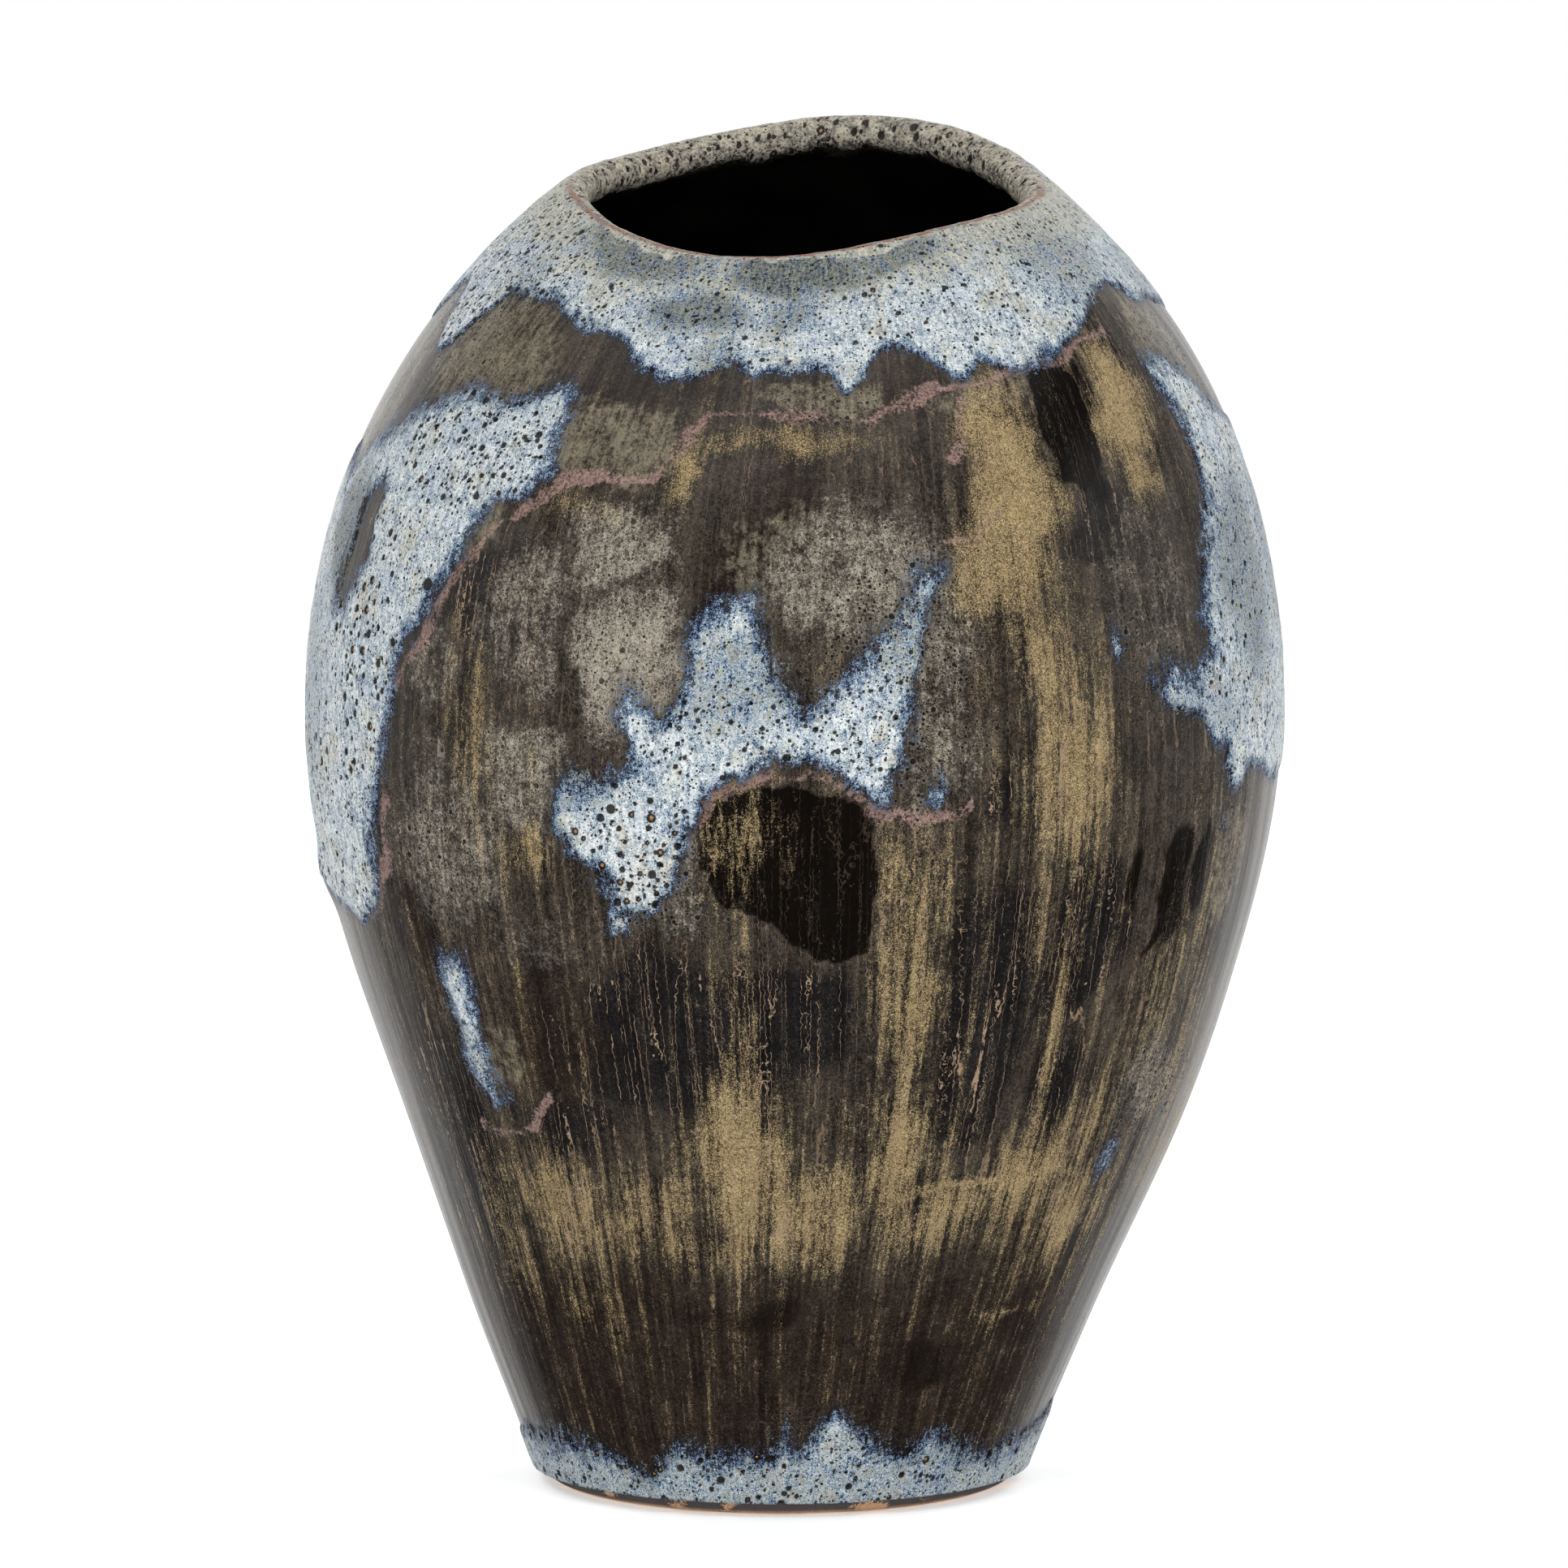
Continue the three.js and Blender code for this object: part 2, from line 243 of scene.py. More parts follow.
RIGHT_FLANK = [
    (64, 282), (70, 285), (80, 272), (92, 262), (104, 240), (106, 208), (98, 188), (84, 176),
    (76, 180), (68, 184), (64, 178), (62, 190), (56, 197), (49, 203), (47, 210), (51, 213),
    (56, 210), (60, 214), (58, 224), (61, 238), (65, 252), (66, 266),
]
LOWER_LEFT_STREAK = [
    (-51.5, 142), (-46.5, 142), (-46, 134), (-45.5, 124), (-45.5, 114), (-45, 104), (-47, 101),
    (-49.5, 106), (-50.5, 114), (-51, 124),
]
BACK_RUN = [
    (132, 276), (146, 280), (162, 274), (170, 262), (166, 244), (160, 226), (163, 206), (158, 180),
    (152, 160), (147, 168), (146, 190), (140, 206), (143, 226), (136, 244), (128, 256),
]
BACK_SPLASH = [
    (-166, 240), (-158, 228), (-150, 214), (-140, 220), (-131, 231), (-125, 218), (-130, 202),
    (-138, 190), (-136, 176), (-144, 160), (-152, 152), (-158, 166), (-168, 176), (-174, 196),
    (-170, 218),
]
# Small round spots of pale glaze: (angle, height, radius).
SPECKS = [(54, 88, 2.6), (42, 219, 1.0), (63, 170, 1.6), (-22, 156, 2.0), (17, 188, 1.4)]
# How far the collar runs on over the lip.
COLLAR_INSIDE = 12.5


def edge_height(edge, angle):
    """The height of an edge that goes all the way round, at an angle."""
    angles, heights = zip(*sorted(((a + 180) % 360 - 180, h) for a, h in edge))
    return np.interp(wrap(angle), angles, heights, period=360)


def segment_distance(places, start, end):
    """Distance in millimetres from each place to a straight line between two (angle, height) points."""
    scale = np.radians(1) * places.radius
    x, y = wrap(start[0] - places.angle) * scale, path_at(start[1]) - places.path
    dx, dy = (end[0] - start[0]) * scale, path_at(end[1]) - path_at(start[1])
    share = np.clip(-(x * dx + y * dy) / (dx * dx + dy * dy), 0, 1)
    return np.hypot(x + share * dx, y + share * dy)


# Distances to an outline are told apart up to this.
FAR = 18.0


def outline_depth(outline, places):
    """How far inside an outline each place is, in millimetres, and negative outside it."""
    middle = np.mean([a for a, _ in outline])
    angle = wrap(places.angle - middle) + middle
    nearest = np.full(places.path.shape, FAR)
    far_angle = math.degrees(FAR / BELLY_RADIUS)
    angles = [a for a, _ in outline]
    paths = [float(path_at(h)) for _, h in outline]
    if (angle.min() > max(angles) + far_angle or angle.max() < min(angles) - far_angle
            or places.path.min() > max(paths) + FAR or places.path.max() < min(paths) - FAR):
        return -nearest
    inside = np.zeros(places.path.shape, bool)
    for start, end in zip(outline, outline[1:] + outline[:1]):
        nearest = np.minimum(nearest, segment_distance(places, start, end))
        (a0, p0), (a1, p1) = ((a, float(path_at(h))) for a, h in (start, end))
        if p0 != p1:
            crosses = (p0 > places.path) != (p1 > places.path)
            inside ^= crosses & (angle < a0 + (a1 - a0) * (places.path - p0) / (p1 - p0))
    return np.where(inside, nearest, -nearest)


def ragged(places):
    """How far noise moves a pale glaze's edge, in millimetres: tongues that run down, then finer bites."""
    drawn_out = places.upright * (1, 1, 0.55)
    tongues = 2.2 * noise(drawn_out, 7, 2) + 1.5 * noise(drawn_out, 3.2, 3)
    return tongues + 0.8 * noise(places.upright, 1.5, 4)


def collar_depth(places):
    over_the_edge = places.path - path_at(edge_height(COLLAR_EDGE, places.angle))
    return np.minimum(over_the_edge, LIP_START + COLLAR_INSIDE - places.path)


def foot_band_depth(places):
    return path_at(edge_height(FOOT_BAND_EDGE, places.angle)) - places.path


def left_flank_depth(places):
    return np.minimum(outline_depth(LEFT_FLANK, places), -outline_depth(LEFT_FLANK_GAP, places))


def specks_depth(places):
    depth = np.full(places.path.shape, -1e9)
    for angle, height, size in SPECKS:
        across = np.radians(wrap(places.angle - angle)) * places.radius
        depth = np.maximum(depth, size - np.hypot(across, (places.path - path_at(height)) * 0.7))
    return depth


PALE_GLAZES = {
    "shoulder_glaze_collar": collar_depth,
    "foot_glaze_band": foot_band_depth,
    "left_flank_glaze_run": left_flank_depth,
    "centre_glaze_splash": lambda places: outline_depth(CENTRE_SPLASH, places),
    "right_flank_glaze_run": lambda places: outline_depth(RIGHT_FLANK, places),
    "lower_left_glaze_streak": lambda places: outline_depth(LOWER_LEFT_STREAK, places),
    "back_glaze_run": lambda places: outline_depth(BACK_RUN, places),
    "back_glaze_splash": lambda places: outline_depth(BACK_SPLASH, places),
}


def pale_depth(places):
    """How far inside the nearest pale glaze each place is, before its edge is made ragged."""
    depth = specks_depth(places)
    for depth_of in PALE_GLAZES.values():
        depth = np.maximum(depth, depth_of(places))
    return depth


# ---- Soft patches of colour: (angle, height, half width, half height, strength) ----
GOLD = [
    (30, 262, 6, 30, 1.35), (27, 240, 9, 14, 1.15), (27, 277, 6, 8, 1.0), (54, 280, 7, 17, 1.6),
    (53, 262, 4, 12, 1.0), (31, 218, 8, 24, 0.8), (34, 190, 9, 30, 0.85), (31, 87, 20, 1.6, 1.5),
    (42, 52, 9, 1.6, 0.8), (-8, 74, 12, 10, 0.5), (-52, 62, 12, 16, 0.5), (20, 74, 12, 8, 0.4),
    (30, 160, 5, 20, 0.45), (-17, 269, 4, 10, 1.0), (-4, 278, 13, 4, 0.8), (-27, 257, 8, 5, 0.6),
    (-41, 200, 4, 34, 0.6), (-34, 172, 7, 9, 0.7), (-6, 178, 8, 15, 0.75), (14, 140, 5.5, 44, 0.85),
    (14, 98, 7, 24, 1.1), (-6, 95, 9, 26, 1.0), (-22, 80, 12, 18, 0.9), (-40, 80, 12, 16, 0.9),
    (-54, 72, 9, 18, 0.55), (4, 82, 14, 16, 0.9), (26, 80, 12, 12, 0.9), (38, 88, 10, 16, 0.95),
    (50, 76, 12, 16, 0.8), (55, 130, 7, 24, 0.55), (66, 110, 8, 30, 0.5), (48, 100, 7, 16, 0.6),
    (37, 134, 4, 30, 0.4), (-34, 56, 10, 12, 0.4), (80, 90, 16, 24, 0.6), (105, 82, 14, 26, 0.9),
    (122, 130, 8, 40, 0.7), (140, 90, 16, 22, 1.0), (170, 100, 14, 26, 0.9), (-170, 74, 16, 18, 0.9),
    (-150, 96, 10, 26, 0.8), (-128, 78, 14, 20, 0.9), (-105, 80, 12, 20, 0.7),
    (120, 240, 9, 22, 0.9), (178, 226, 7, 34, 0.8), (-112, 236, 8, 26, 0.8),
    (-140, 262, 10, 10, 0.7),
]
# Near-black patches, partly dark glaze and partly painted dark reflections of gaps between the lights.
BLACK = [
    (53, 157, 2.6, 18, 1.0), (58, 161, 2.4, 14, 0.9), (46, 163, 1.8, 12, 0.7),
    (50, 150, 1.8, 10, 0.7), (43, 262, 4, 10, 0.6), (130, 168, 7, 20, 1.0), (168, 252, 5, 12, 0.7),
    (-118, 150, 6, 16, 0.9), (-4, 54, 9, 8, 0.5), (26, 40, 14, 12, 0.5),
]
BROWN = [
    (-1, 262, 6, 22, 1.0), (15, 290, 7, 6, 1.0), (-28, 289, 8, 12, 0.85), (-34, 125, 9, 24, 0.85),
    (-54, 148, 7, 12, 0.8), (-9, 241, 5, 16, 0.7), (-15, 292, 5, 6, 0.8), (-60, 296, 10, 8, 0.6),
    (32, 60, 16, 10, 0.7), (66, 150, 7, 24, 0.6), (-66, 120, 10, 30, 0.5), (120, 280, 14, 10, 0.7),
    (-160, 284, 14, 10, 0.7),
]
# Near-black patches with a clear outline, partly dark glaze and partly painted dark reflections on the
# glossy glaze: ([(angle, height), ...], softness of its edge in millimetres).
BLACK_AND_REFLECTION_OUTLINES = [
    ([(-11, 183), (-8, 188), (-3, 191), (3, 189), (7, 186), (9.2, 182), (9.6, 168), (9.4, 154), (8, 147),
      (3, 146), (0, 151), (-4, 157), (-9, 160), (-11, 170)], 2.2),
    ([(36, 288), (47, 288), (46, 276), (45, 264), (41, 258), (37, 262), (36, 274)], 1.6),
    ([(-160, 150), (-150, 152), (-148, 130), (-152, 112), (-158, 116)], 1.4),
]
# Where pale glaze is thin and the dark ground darkens it.
THIN = [
    (-2, 317, 20, 7, 1.0), (-22, 307, 11, 6, 0.8), (20, 317, 14, 5, 0.8), (-40, 318, 20, 6, 0.8),
    (2, 222, 5, 14, 0.7), (14, 226, 7, 18, 0.55), (-4, 308, 8, 5, 0.6), (-6, 214, 10, 16, 0.5),
    (-75, 240, 5, 20, 0.8), (-80, 200, 8, 30, 0.4), (72, 230, 12, 30, 0.65), (92, 230, 14, 34, 0.5),
    (-26, 190, 5, 8, 0.5), (58, 200, 10, 10, 0.4), (-14, 297, 8, 6, 0.5), (-64, 304, 8, 8, 0.4),
    (40, 12, 30, 9, 0.5), (-40, 10, 30, 9, 0.4), (60, 308, 16, 10, 0.5), (100, 300, 24, 10, 0.4),
    (180, 306, 30, 8, 0.5), (-120, 304, 24, 9, 0.5),
]
SLATE = [
    (-20, 124, 18, 24, 0.9), (-2, 132, 11, 20, 0.9), (26, 130, 7.5, 40, 1.0), (40, 150, 7, 24, 0.8),
    (42, 276, 5.5, 14, 1.2), (43, 250, 7, 16, 0.8), (-62, 90, 14, 46, 0.8), (-37, 234, 12, 14, 0.7),
    (24, 186, 3.5, 8, 0.7), (40, 112, 9, 16, 0.5), (98, 140, 12, 34, 0.8), (150, 132, 14, 24, 0.9),
    (-136, 136, 12, 30, 0.8), (178, 148, 14, 26, 0.7), (-84, 110, 12, 34, 0.8),
    (-34, 100, 12, 10, 0.6),
]
GREY = [
    (-20, 218, 9, 22, 1.35), (-23, 248, 9, 15, 1.1), (-34, 228, 8, 22, 0.85), (-48, 212, 5, 16, 0.8),
    (15, 224, 8, 38, 0.85), (16, 194, 6, 12, 0.85), (-14, 166, 5, 20, 0.7), (-46, 172, 12, 24, 0.9),
    (-34, 190, 7, 18, 1.0), (6, 242, 12, 24, 1.0), (50, 232, 9, 30, 0.62), (60, 108, 9, 16, 0.9),
    (66, 184, 8, 20, 0.4), (-34, 150, 10, 12, 0.5), (100, 226, 10, 30, 0.8), (150, 214, 16, 34, 0.9),
    (-146, 200, 14, 34, 0.9), (-104, 196, 10, 30, 0.6),
]
OLIVE = [
    (-28, 276, 13, 14, 0.72), (-58, 286, 16, 18, 0.9), (-47, 250, 5, 12, 0.9), (3, 288, 10, 5, 0.8),
    (30, 285, 14, 5, 0.5), (-82, 266, 9, 26, 0.8), (72, 282, 9, 20, 0.8), (0, 244, 12, 22, 0.5),
    (110, 272, 20, 12, 0.9), (160, 268, 24, 12, 0.9), (-150, 274, 24, 12, 0.9),
    (-110, 268, 14, 14, 0.9), (-44, 116, 5, 14, 0.5), (66, 160, 6, 20, 0.6),
]
PITTED = [
    (-78, 304, 30, 20, 1.0), (-30, 312, 14, 8, 0.6), (-130, 300, 30, 20, 0.7),
    (12, 215, 12, 40, 0.9), (-22, 215, 12, 28, 0.5), (-16, 160, 12, 12, 0.7), (15, 218, 12, 45, 0.6),
    (48, 226, 12, 36, 0.5), (60, 106, 10, 20, 1.0), (-50, 168, 12, 20, 0.7), (66, 178, 6, 12, 0.7),
    (3, 286, 12, 7, 0.6), (-60, 280, 18, 20, 0.5), (74, 270, 12, 30, 0.6), (6, 26, 16, 8, 0.5),
    (150, 214, 18, 36, 0.5), (-146, 200, 18, 36, 0.5), (100, 226, 12, 34, 0.5),
]
# The height about which the deep brown foot of the dark glaze ends.
DEEP_BROWN_TOP = 66.0

# Mauve lines where one dip of glaze stops over another, as (angle, height) points.
MAUVE = [
    [(-58, 186), (-56, 206), (-50, 222), (-46, 238), (-42, 249), (-37, 257), (-32, 266), (-26, 266),
     (-21, 266), (-17, 276), (-14, 284), (-6, 284), (4, 282), (10, 281), (16, 285), (22, 287), (30, 286),
     (37, 290), (44, 290), (52, 292), (58, 293)],
    [(-12, 178), (-9, 187), (-4, 194), (2, 194), (7, 189), (10, 184), (15, 181), (20, 182), (22, 188)],
    [(19, 249), (23, 250), (27, 256)],
    [(22, 270), (24, 278), (25, 284)],
    [(-51, 98), (-46, 96), (-42, 99), (-38, 104), (-36, 108)],
    [(-66, 146), (-62, 152), (-59, 162), (-57, 178)],
    [(96, 262), (112, 252), (126, 258), (142, 266), (158, 262), (172, 256), (188, 268), (204, 262),
     (220, 256), (236, 266), (250, 260)],
    [(150, 160), (158, 152), (168, 158), (176, 150), (190, 156)],
]


def patches(spots, places, core=0.45, reach=1.25):
    """How strongly soft oval patches cover each place: fully in their cores, not beyond their reach."""
    cover = np.zeros(places.path.shape)
    for angle, height, half_width, half_height, strength in spots:
        across = wrap(places.angle - angle) / half_width
        away = np.hypot(across, (places.height - height) / half_height)
        cover = np.maximum(cover, strength * (1 - smoothstep(core, reach, away)))
    return np.where(places.path < LIP_START, cover, 0)


def line_distance(points, places):
    """Distance in millimetres to a line through (angle, height) points."""
    nearest = np.full(places.path.shape, 1e3)
    for start, end in zip(points, points[1:]):
        nearest = np.minimum(nearest, segment_distance(places, start, end))
    return nearest


def wandered(places, amount, cell, seed):
    """The same places moved along the wall by up to about amount millimetres of noise."""
    sideways = np.degrees(amount * noise(places.upright, cell, seed) / np.maximum(places.radius, 40))
    along = amount * noise(places.upright, cell, seed + 1)
    return Places(places.angle + sideways, places.path + along)


def mauve_lines(places):
    """The strength of the thin mauve lines, which swell, fade and break."""
    strength = np.zeros(places.path.shape)
    wide = 1.0 + 0.9 * noise(places.upright, 9, 14) + 0.5 * noise(places.upright, 3, 15)
    for points in MAUVE:
        near = line_distance(points, places) / np.maximum(wide, 0.15)
        strength = np.maximum(strength, 1 - smoothstep(0.6, 2.6, near))
    return strength * (0.8 + 0.4 * noise(places.upright, 5, 16))


def black_and_reflection_cover(places):
    """Where the glaze is painted near black, with a ragged edge: partly dark glaze, partly painted dark
    reflections.
    """
    edge = 1.8 * noise(places.upright * (1, 1, 0.4), 4, 51) + 0.8 * noise(places.upright, 2.2, 52)
    cover = np.zeros(places.path.shape)
    for outline, softness in BLACK_AND_REFLECTION_OUTLINES:
        depth = outline_depth(outline, places) + edge
        cover = np.maximum(cover, smoothstep(-softness, softness, depth))
    return cover


def feathered(places, depth):
    """A pale glaze's depth, drawn out where its edge faces up and tightened where its edge faces down."""
    rise = np.clip(np.gradient(depth, places.path[0], axis=1), -1, 1)
    return depth * (1 + 0.4 * rise)


def colouring(places, depth):
    """The named fields that the glaze materials read."""
    loose = wandered(wandered(places, 4.5, 13, 25), 1.8, 4.5, 27)
    crinkled = wandered(wandered(places, 1.6, 6, 35), 0.8, 2.4, 37)
    streaky = places.streaks * (1, 1, 0.08)
    drift = 0.5 * noise(streaky, 9, 21) + 0.35 * noise(streaky, 4.5, 22)
    cloud = 0.5 * noise(places.upright, 14, 23) + 0.3 * noise(places.upright, 6, 24)
    lower = 1 - smoothstep(DEEP_BROWN_TOP - 12, DEEP_BROWN_TOP + 8, places.height + 9 * drift + 5 * cloud)
    return {
        "pale": feathered(places, depth),
        # Below 40 mm the pale glaze is also made darker towards the foot.
        "thin": np.maximum(patches(THIN, loose), 0.45 * (1 - smoothstep(10, 40, places.height))),
        "gold": patches(GOLD, loose, 0.1, 1.5) + 0.35 * drift,
        "black": np.maximum(black_and_reflection_cover(places), patches(BLACK, loose)),
        "slate": patches(SLATE, loose) + 0.2 * drift,
        "grey": patches(GREY, loose) + 0.2 * cloud,
        "olive": patches(OLIVE, loose) + 0.2 * cloud,
        "brown": np.maximum(lower, patches(BROWN, loose) + 0.2 * drift),
        "mauve": mauve_lines(crinkled),
        "pitted": patches(PITTED, loose),
        "lip": places.path - LIP_START,
    }


# ---- Meshes ----
def neighbour(keep, columns, rows, round_and_round):
    """Whether the face that many columns and rows away is kept."""
    moved = np.roll(keep, (-columns, -rows), axis=(0, 1))
    if columns and not round_and_round:
        moved[-1 if columns > 0 else 0] = False
    if rows:
        moved[:, -1 if rows > 0 else 0] = False
    return moved


def solid_from_grid(name, top, bottom, keep, fields, round_and_round):
    """A closed solid between two grids of points, (column, row, xyz), over the faces that are kept."""
    columns, rows = top.shape[:2]
    index = np.arange(columns * rows).reshape(columns, rows)
    right = np.roll(index, -1, axis=0)
    corners = [index[:, :-1], right[:, :-1], right[:, 1:], index[:, 1:]]
    if not round_and_round:
        corners = [corner[:-1] for corner in corners]
    under = columns * rows
    faces = [np.stack([corner[keep] for corner in corners], axis=1)]
    faces.append(faces[0][:, ::-1] + under)
    for side, (column, row) in enumerate([(0, -1), (1, 0), (0, 1), (-1, 0)]):
        open_edge = keep & ~neighbour(keep, column, row, round_and_round)
        first, second = corners[side][open_edge], corners[(side + 1) % 4][open_edge]
        faces.append(np.stack([second, first, first + under, second + under], axis=1))
    faces = np.concatenate(faces)
    used, faces = np.unique(faces, return_inverse=True)
    places = np.concatenate([top.reshape(-1, 3), bottom.reshape(-1, 3)])[used]
    mesh = bpy.data.meshes.new(name)
    mesh.vertices.add(len(places))
    mesh.vertices.foreach_set("co", places.astype(np.float32).ravel())
    mesh.loops.add(faces.size)
    mesh.loops.foreach_set("vertex_index", faces.astype(np.int32).ravel())
    mesh.polygons.add(faces.size // 4)
    mesh.polygons.foreach_set("loop_start", np.arange(0, faces.size, 4, dtype=np.int32))
    mesh.update(calc_edges=True)
    mesh.shade_smooth()
    for field, values in fields.items():
        values = np.asarray(values, np.float32)
        vector = values.shape != top.shape[:2]
        flat = values.reshape(under, -1)
        both_sides = np.concatenate([flat, flat])[used]
        attribute = mesh.attributes.new(field, "FLOAT_VECTOR" if vector else "FLOAT", "POINT")
        attribute.data.foreach_set("vector" if vector else "value", both_sides.ravel())
    piece = bpy.data.objects.new(name, mesh)
    bpy.context.scene.collection.objects.link(piece)
    return piece


def finish_piece(piece, node, material):
    piece.data.materials.append(material)
    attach(piece, "root")
    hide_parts(node)
    return piece


def ring_grid(columns, first, last, step):
    angle = np.linspace(-180, 180, columns, endpoint=False)
    path = np.linspace(first, last, max(2, round((last - first) / step)))
    return Places(angle[:, None], path[None, :])


DRIP_ANGLE, DRIP_HEIGHT, DRIP_SPREAD, DRIP_RISE = -84, 152, 7.0, 1.6


def base_relief(places):
    """The dark glaze's own surface, in millimetres: soft ridges that run down, and one thick drip."""
    streaky = places.streaks * (1, 1, 0.06)
    ridges = 0.10 * noise(streaky, 6, 31) + 0.05 * noise(streaky, 3.4, 32)
    across = np.radians(wrap(places.angle - DRIP_ANGLE)) * places.radius
    drip = DRIP_RISE * np.exp(-(across ** 2 + (places.path - path_at(DRIP_HEIGHT)) ** 2) / DRIP_SPREAD ** 2)
    return ridges + 0.12 * noise(places.upright, 18, 33) + drip


def base_coat(material):
    places = ring_grid(BASE_COLUMNS, 0, LIP_CREST, BASE_STEP)
    depth = pale_depth(places) + ragged(places)
    fields = colouring(places, depth) | {"streaks": places.streaks * MM}
    top = places.lifted(base_relief(places))
    bottom = places.lifted(-GLAZE_THICKNESS)
    keep = np.ones((BASE_COLUMNS, places.path.shape[1] - 1), bool)
    piece = solid_from_grid("dark_base_glaze", top, bottom, keep, fields, True)
    return finish_piece(piece, "base_glaze_coat", material)


def liner(material):
    places = ring_grid(INSIDE_COLUMNS, LIP_CREST, PATH[-1], INSIDE_STEP)
    fields = {"pale": collar_depth(places) + ragged(places)}
    top, bottom = places.lifted(0), places.lifted(-GLAZE_THICKNESS)
    keep = np.ones((INSIDE_COLUMNS, places.path.shape[1] - 1), bool)
    piece = solid_from_grid("inner_liner_glaze", top, bottom, keep, fields, True)
    return finish_piece(piece, "liner_glaze_coat", material)


PATCH_THICKNESS = 0.8
PATCH_EDGE = 1.9
PATCH_LOWERED = 0.1
PATCH_BURIED = 0.35
PATCH_BELOW = 0.15
PATCH_MARGIN_CELLS = 4
CRATER_DEPTH = 0.8
CRATER_FLOOR = 0.12
CRATER_REACH = 1.5
CLAY_SHARE = 0.35
SMALL_CRATER_SKEW = 2.2


def grown(mask, by):
    """A mask spread sideways, up and down by a number of cells."""
    for _ in range(by):
        sideways = np.roll(mask, 1, 0) | np.roll(mask, -1, 0)
        mask = mask | sideways | np.roll(mask, 1, 1) | np.roll(mask, -1, 1)
    return mask


def pale_piece(node, places, material, round_and_round, craters):
    """One pale glaze, as a lens-like sheet whose thin edge sinks into the coat that it lies on."""
    depth = PALE_GLAZES[node](places) + ragged(places)
    everywhere = pale_depth(places) + ragged(places)
    rounded = PATCH_THICKNESS * np.tanh(depth / PATCH_EDGE)
    lift = np.where(depth > 0, rounded, np.maximum(depth * PATCH_THICKNESS / PATCH_EDGE, -PATCH_BURIED))
    lift = lift + 0.12 * noise(places.upright, 4, 41) * smoothstep(0, 3, depth) - PATCH_LOWERED
    hollow, bare = sink_craters(places, craters)
    sunk = np.maximum(lift - CRATER_DEPTH * smoothstep(0.0, 0.55, hollow), CRATER_FLOOR)
    lift = np.minimum(lift, np.where(hollow > 0, sunk, lift))
    seen = depth > -0.2
    shown = grown(seen[:, :-1] if round_and_round else seen[:-1, :-1], PATCH_MARGIN_CELLS)
    fields = colouring(places, everywhere)
    fields |= {"streaks": places.streaks * MM, "hollow": hollow, "bare": bare}
    top = places.lifted(base_relief(places) + lift)
    bottom = places.lifted(base_relief(places) - PATCH_BURIED - PATCH_BELOW)
    piece = solid_from_grid("pale_" + node, top, bottom, shown, fields, round_and_round)
    return finish_piece(piece, node, material)


# Wide burst bubbles at given places: (angle, height, radius, 1 if clay shows).
WIDE_CRATERS = [
    (-17, 182, 1.5, 1), (-21, 179, 0.9, 0), (-13, 184, 0.8, 0), (-14.2, 178.5, 0.9, 1),
    (-16, 173.5, 1.2, 1), (-14.2, 172.5, 0.8, 1), (-21, 172.5, 1.0, 0), (-23.4, 169.5, 1.3, 1),
    (-24.4, 173, 0.8, 0), (-20, 165, 1.0, 0), (-18.6, 168, 0.9, 1), (-22.2, 165.5, 0.8, 0),
    (-19, 161.5, 0.8, 1), (-1, 197.5, 1.3, 0), (-8.5, 192.5, 0.9, 0), (-13.5, 207, 0.7, 0),
    (-20, 195, 0.7, 1), (-21.4, 189.5, 0.9, 0), (-51, 233, 2.0, 0), (-48.5, 229, 1.0, 0),
    (-55, 206, 1.3, 0), (-60, 196, 1.4, 1), (-66, 188, 1.2, 0),
]


def sink_craters(places, craters):
    """(How deep in a burst bubble each place is, from 0 at its rim to 1 in its middle; 1 if clay shows.)"""
    hollow = np.zeros(places.path.shape)
    bare = np.zeros(places.path.shape)
    dice = np.random.default_rng(places.path.size)
    wanted = list(WIDE_CRATERS)
    for angle, height, half_width, half_height, count, smallest, largest in craters:
        for _ in range(count):
            turn, reach = dice.uniform(0, 2 * math.pi), math.sqrt(dice.uniform())
            across, along = half_width * reach * math.cos(turn), half_height * reach * math.sin(turn)
            size = smallest + (largest - smallest) * dice.uniform() ** SMALL_CRATER_SKEW
            wanted.append((angle + across, height + along, size, float(dice.uniform() < CLAY_SHARE)))
    made = []
    for angle, height, size, clay_shows in wanted:
        centre = float(path_at(height))
        radius = float(np.interp(centre, PATH, LINE[:, 0]))
        spot = np.array([math.radians(angle) * radius, centre])
        if any(np.hypot(*(spot - other)) < size + other_size for other, other_size in made):
            continue
        made.append((spot, size))
        column = np.abs(wrap(places.angle[:, 0] - angle)) * math.radians(1) * radius < CRATER_REACH * size
        row = np.abs(places.path[0] - centre) < CRATER_REACH * size
        window = np.ix_(column, row)
        across = np.radians(wrap(places.angle[window] - angle)) * radius
        away = np.hypot(across, places.path[window] - centre) / size
        inside = np.clip(1 - away, 0, 1)
        bare[window] = np.where(inside > hollow[window], clay_shows, bare[window])
        hollow[window] = np.maximum(hollow[window], inside)
    return hollow, bare


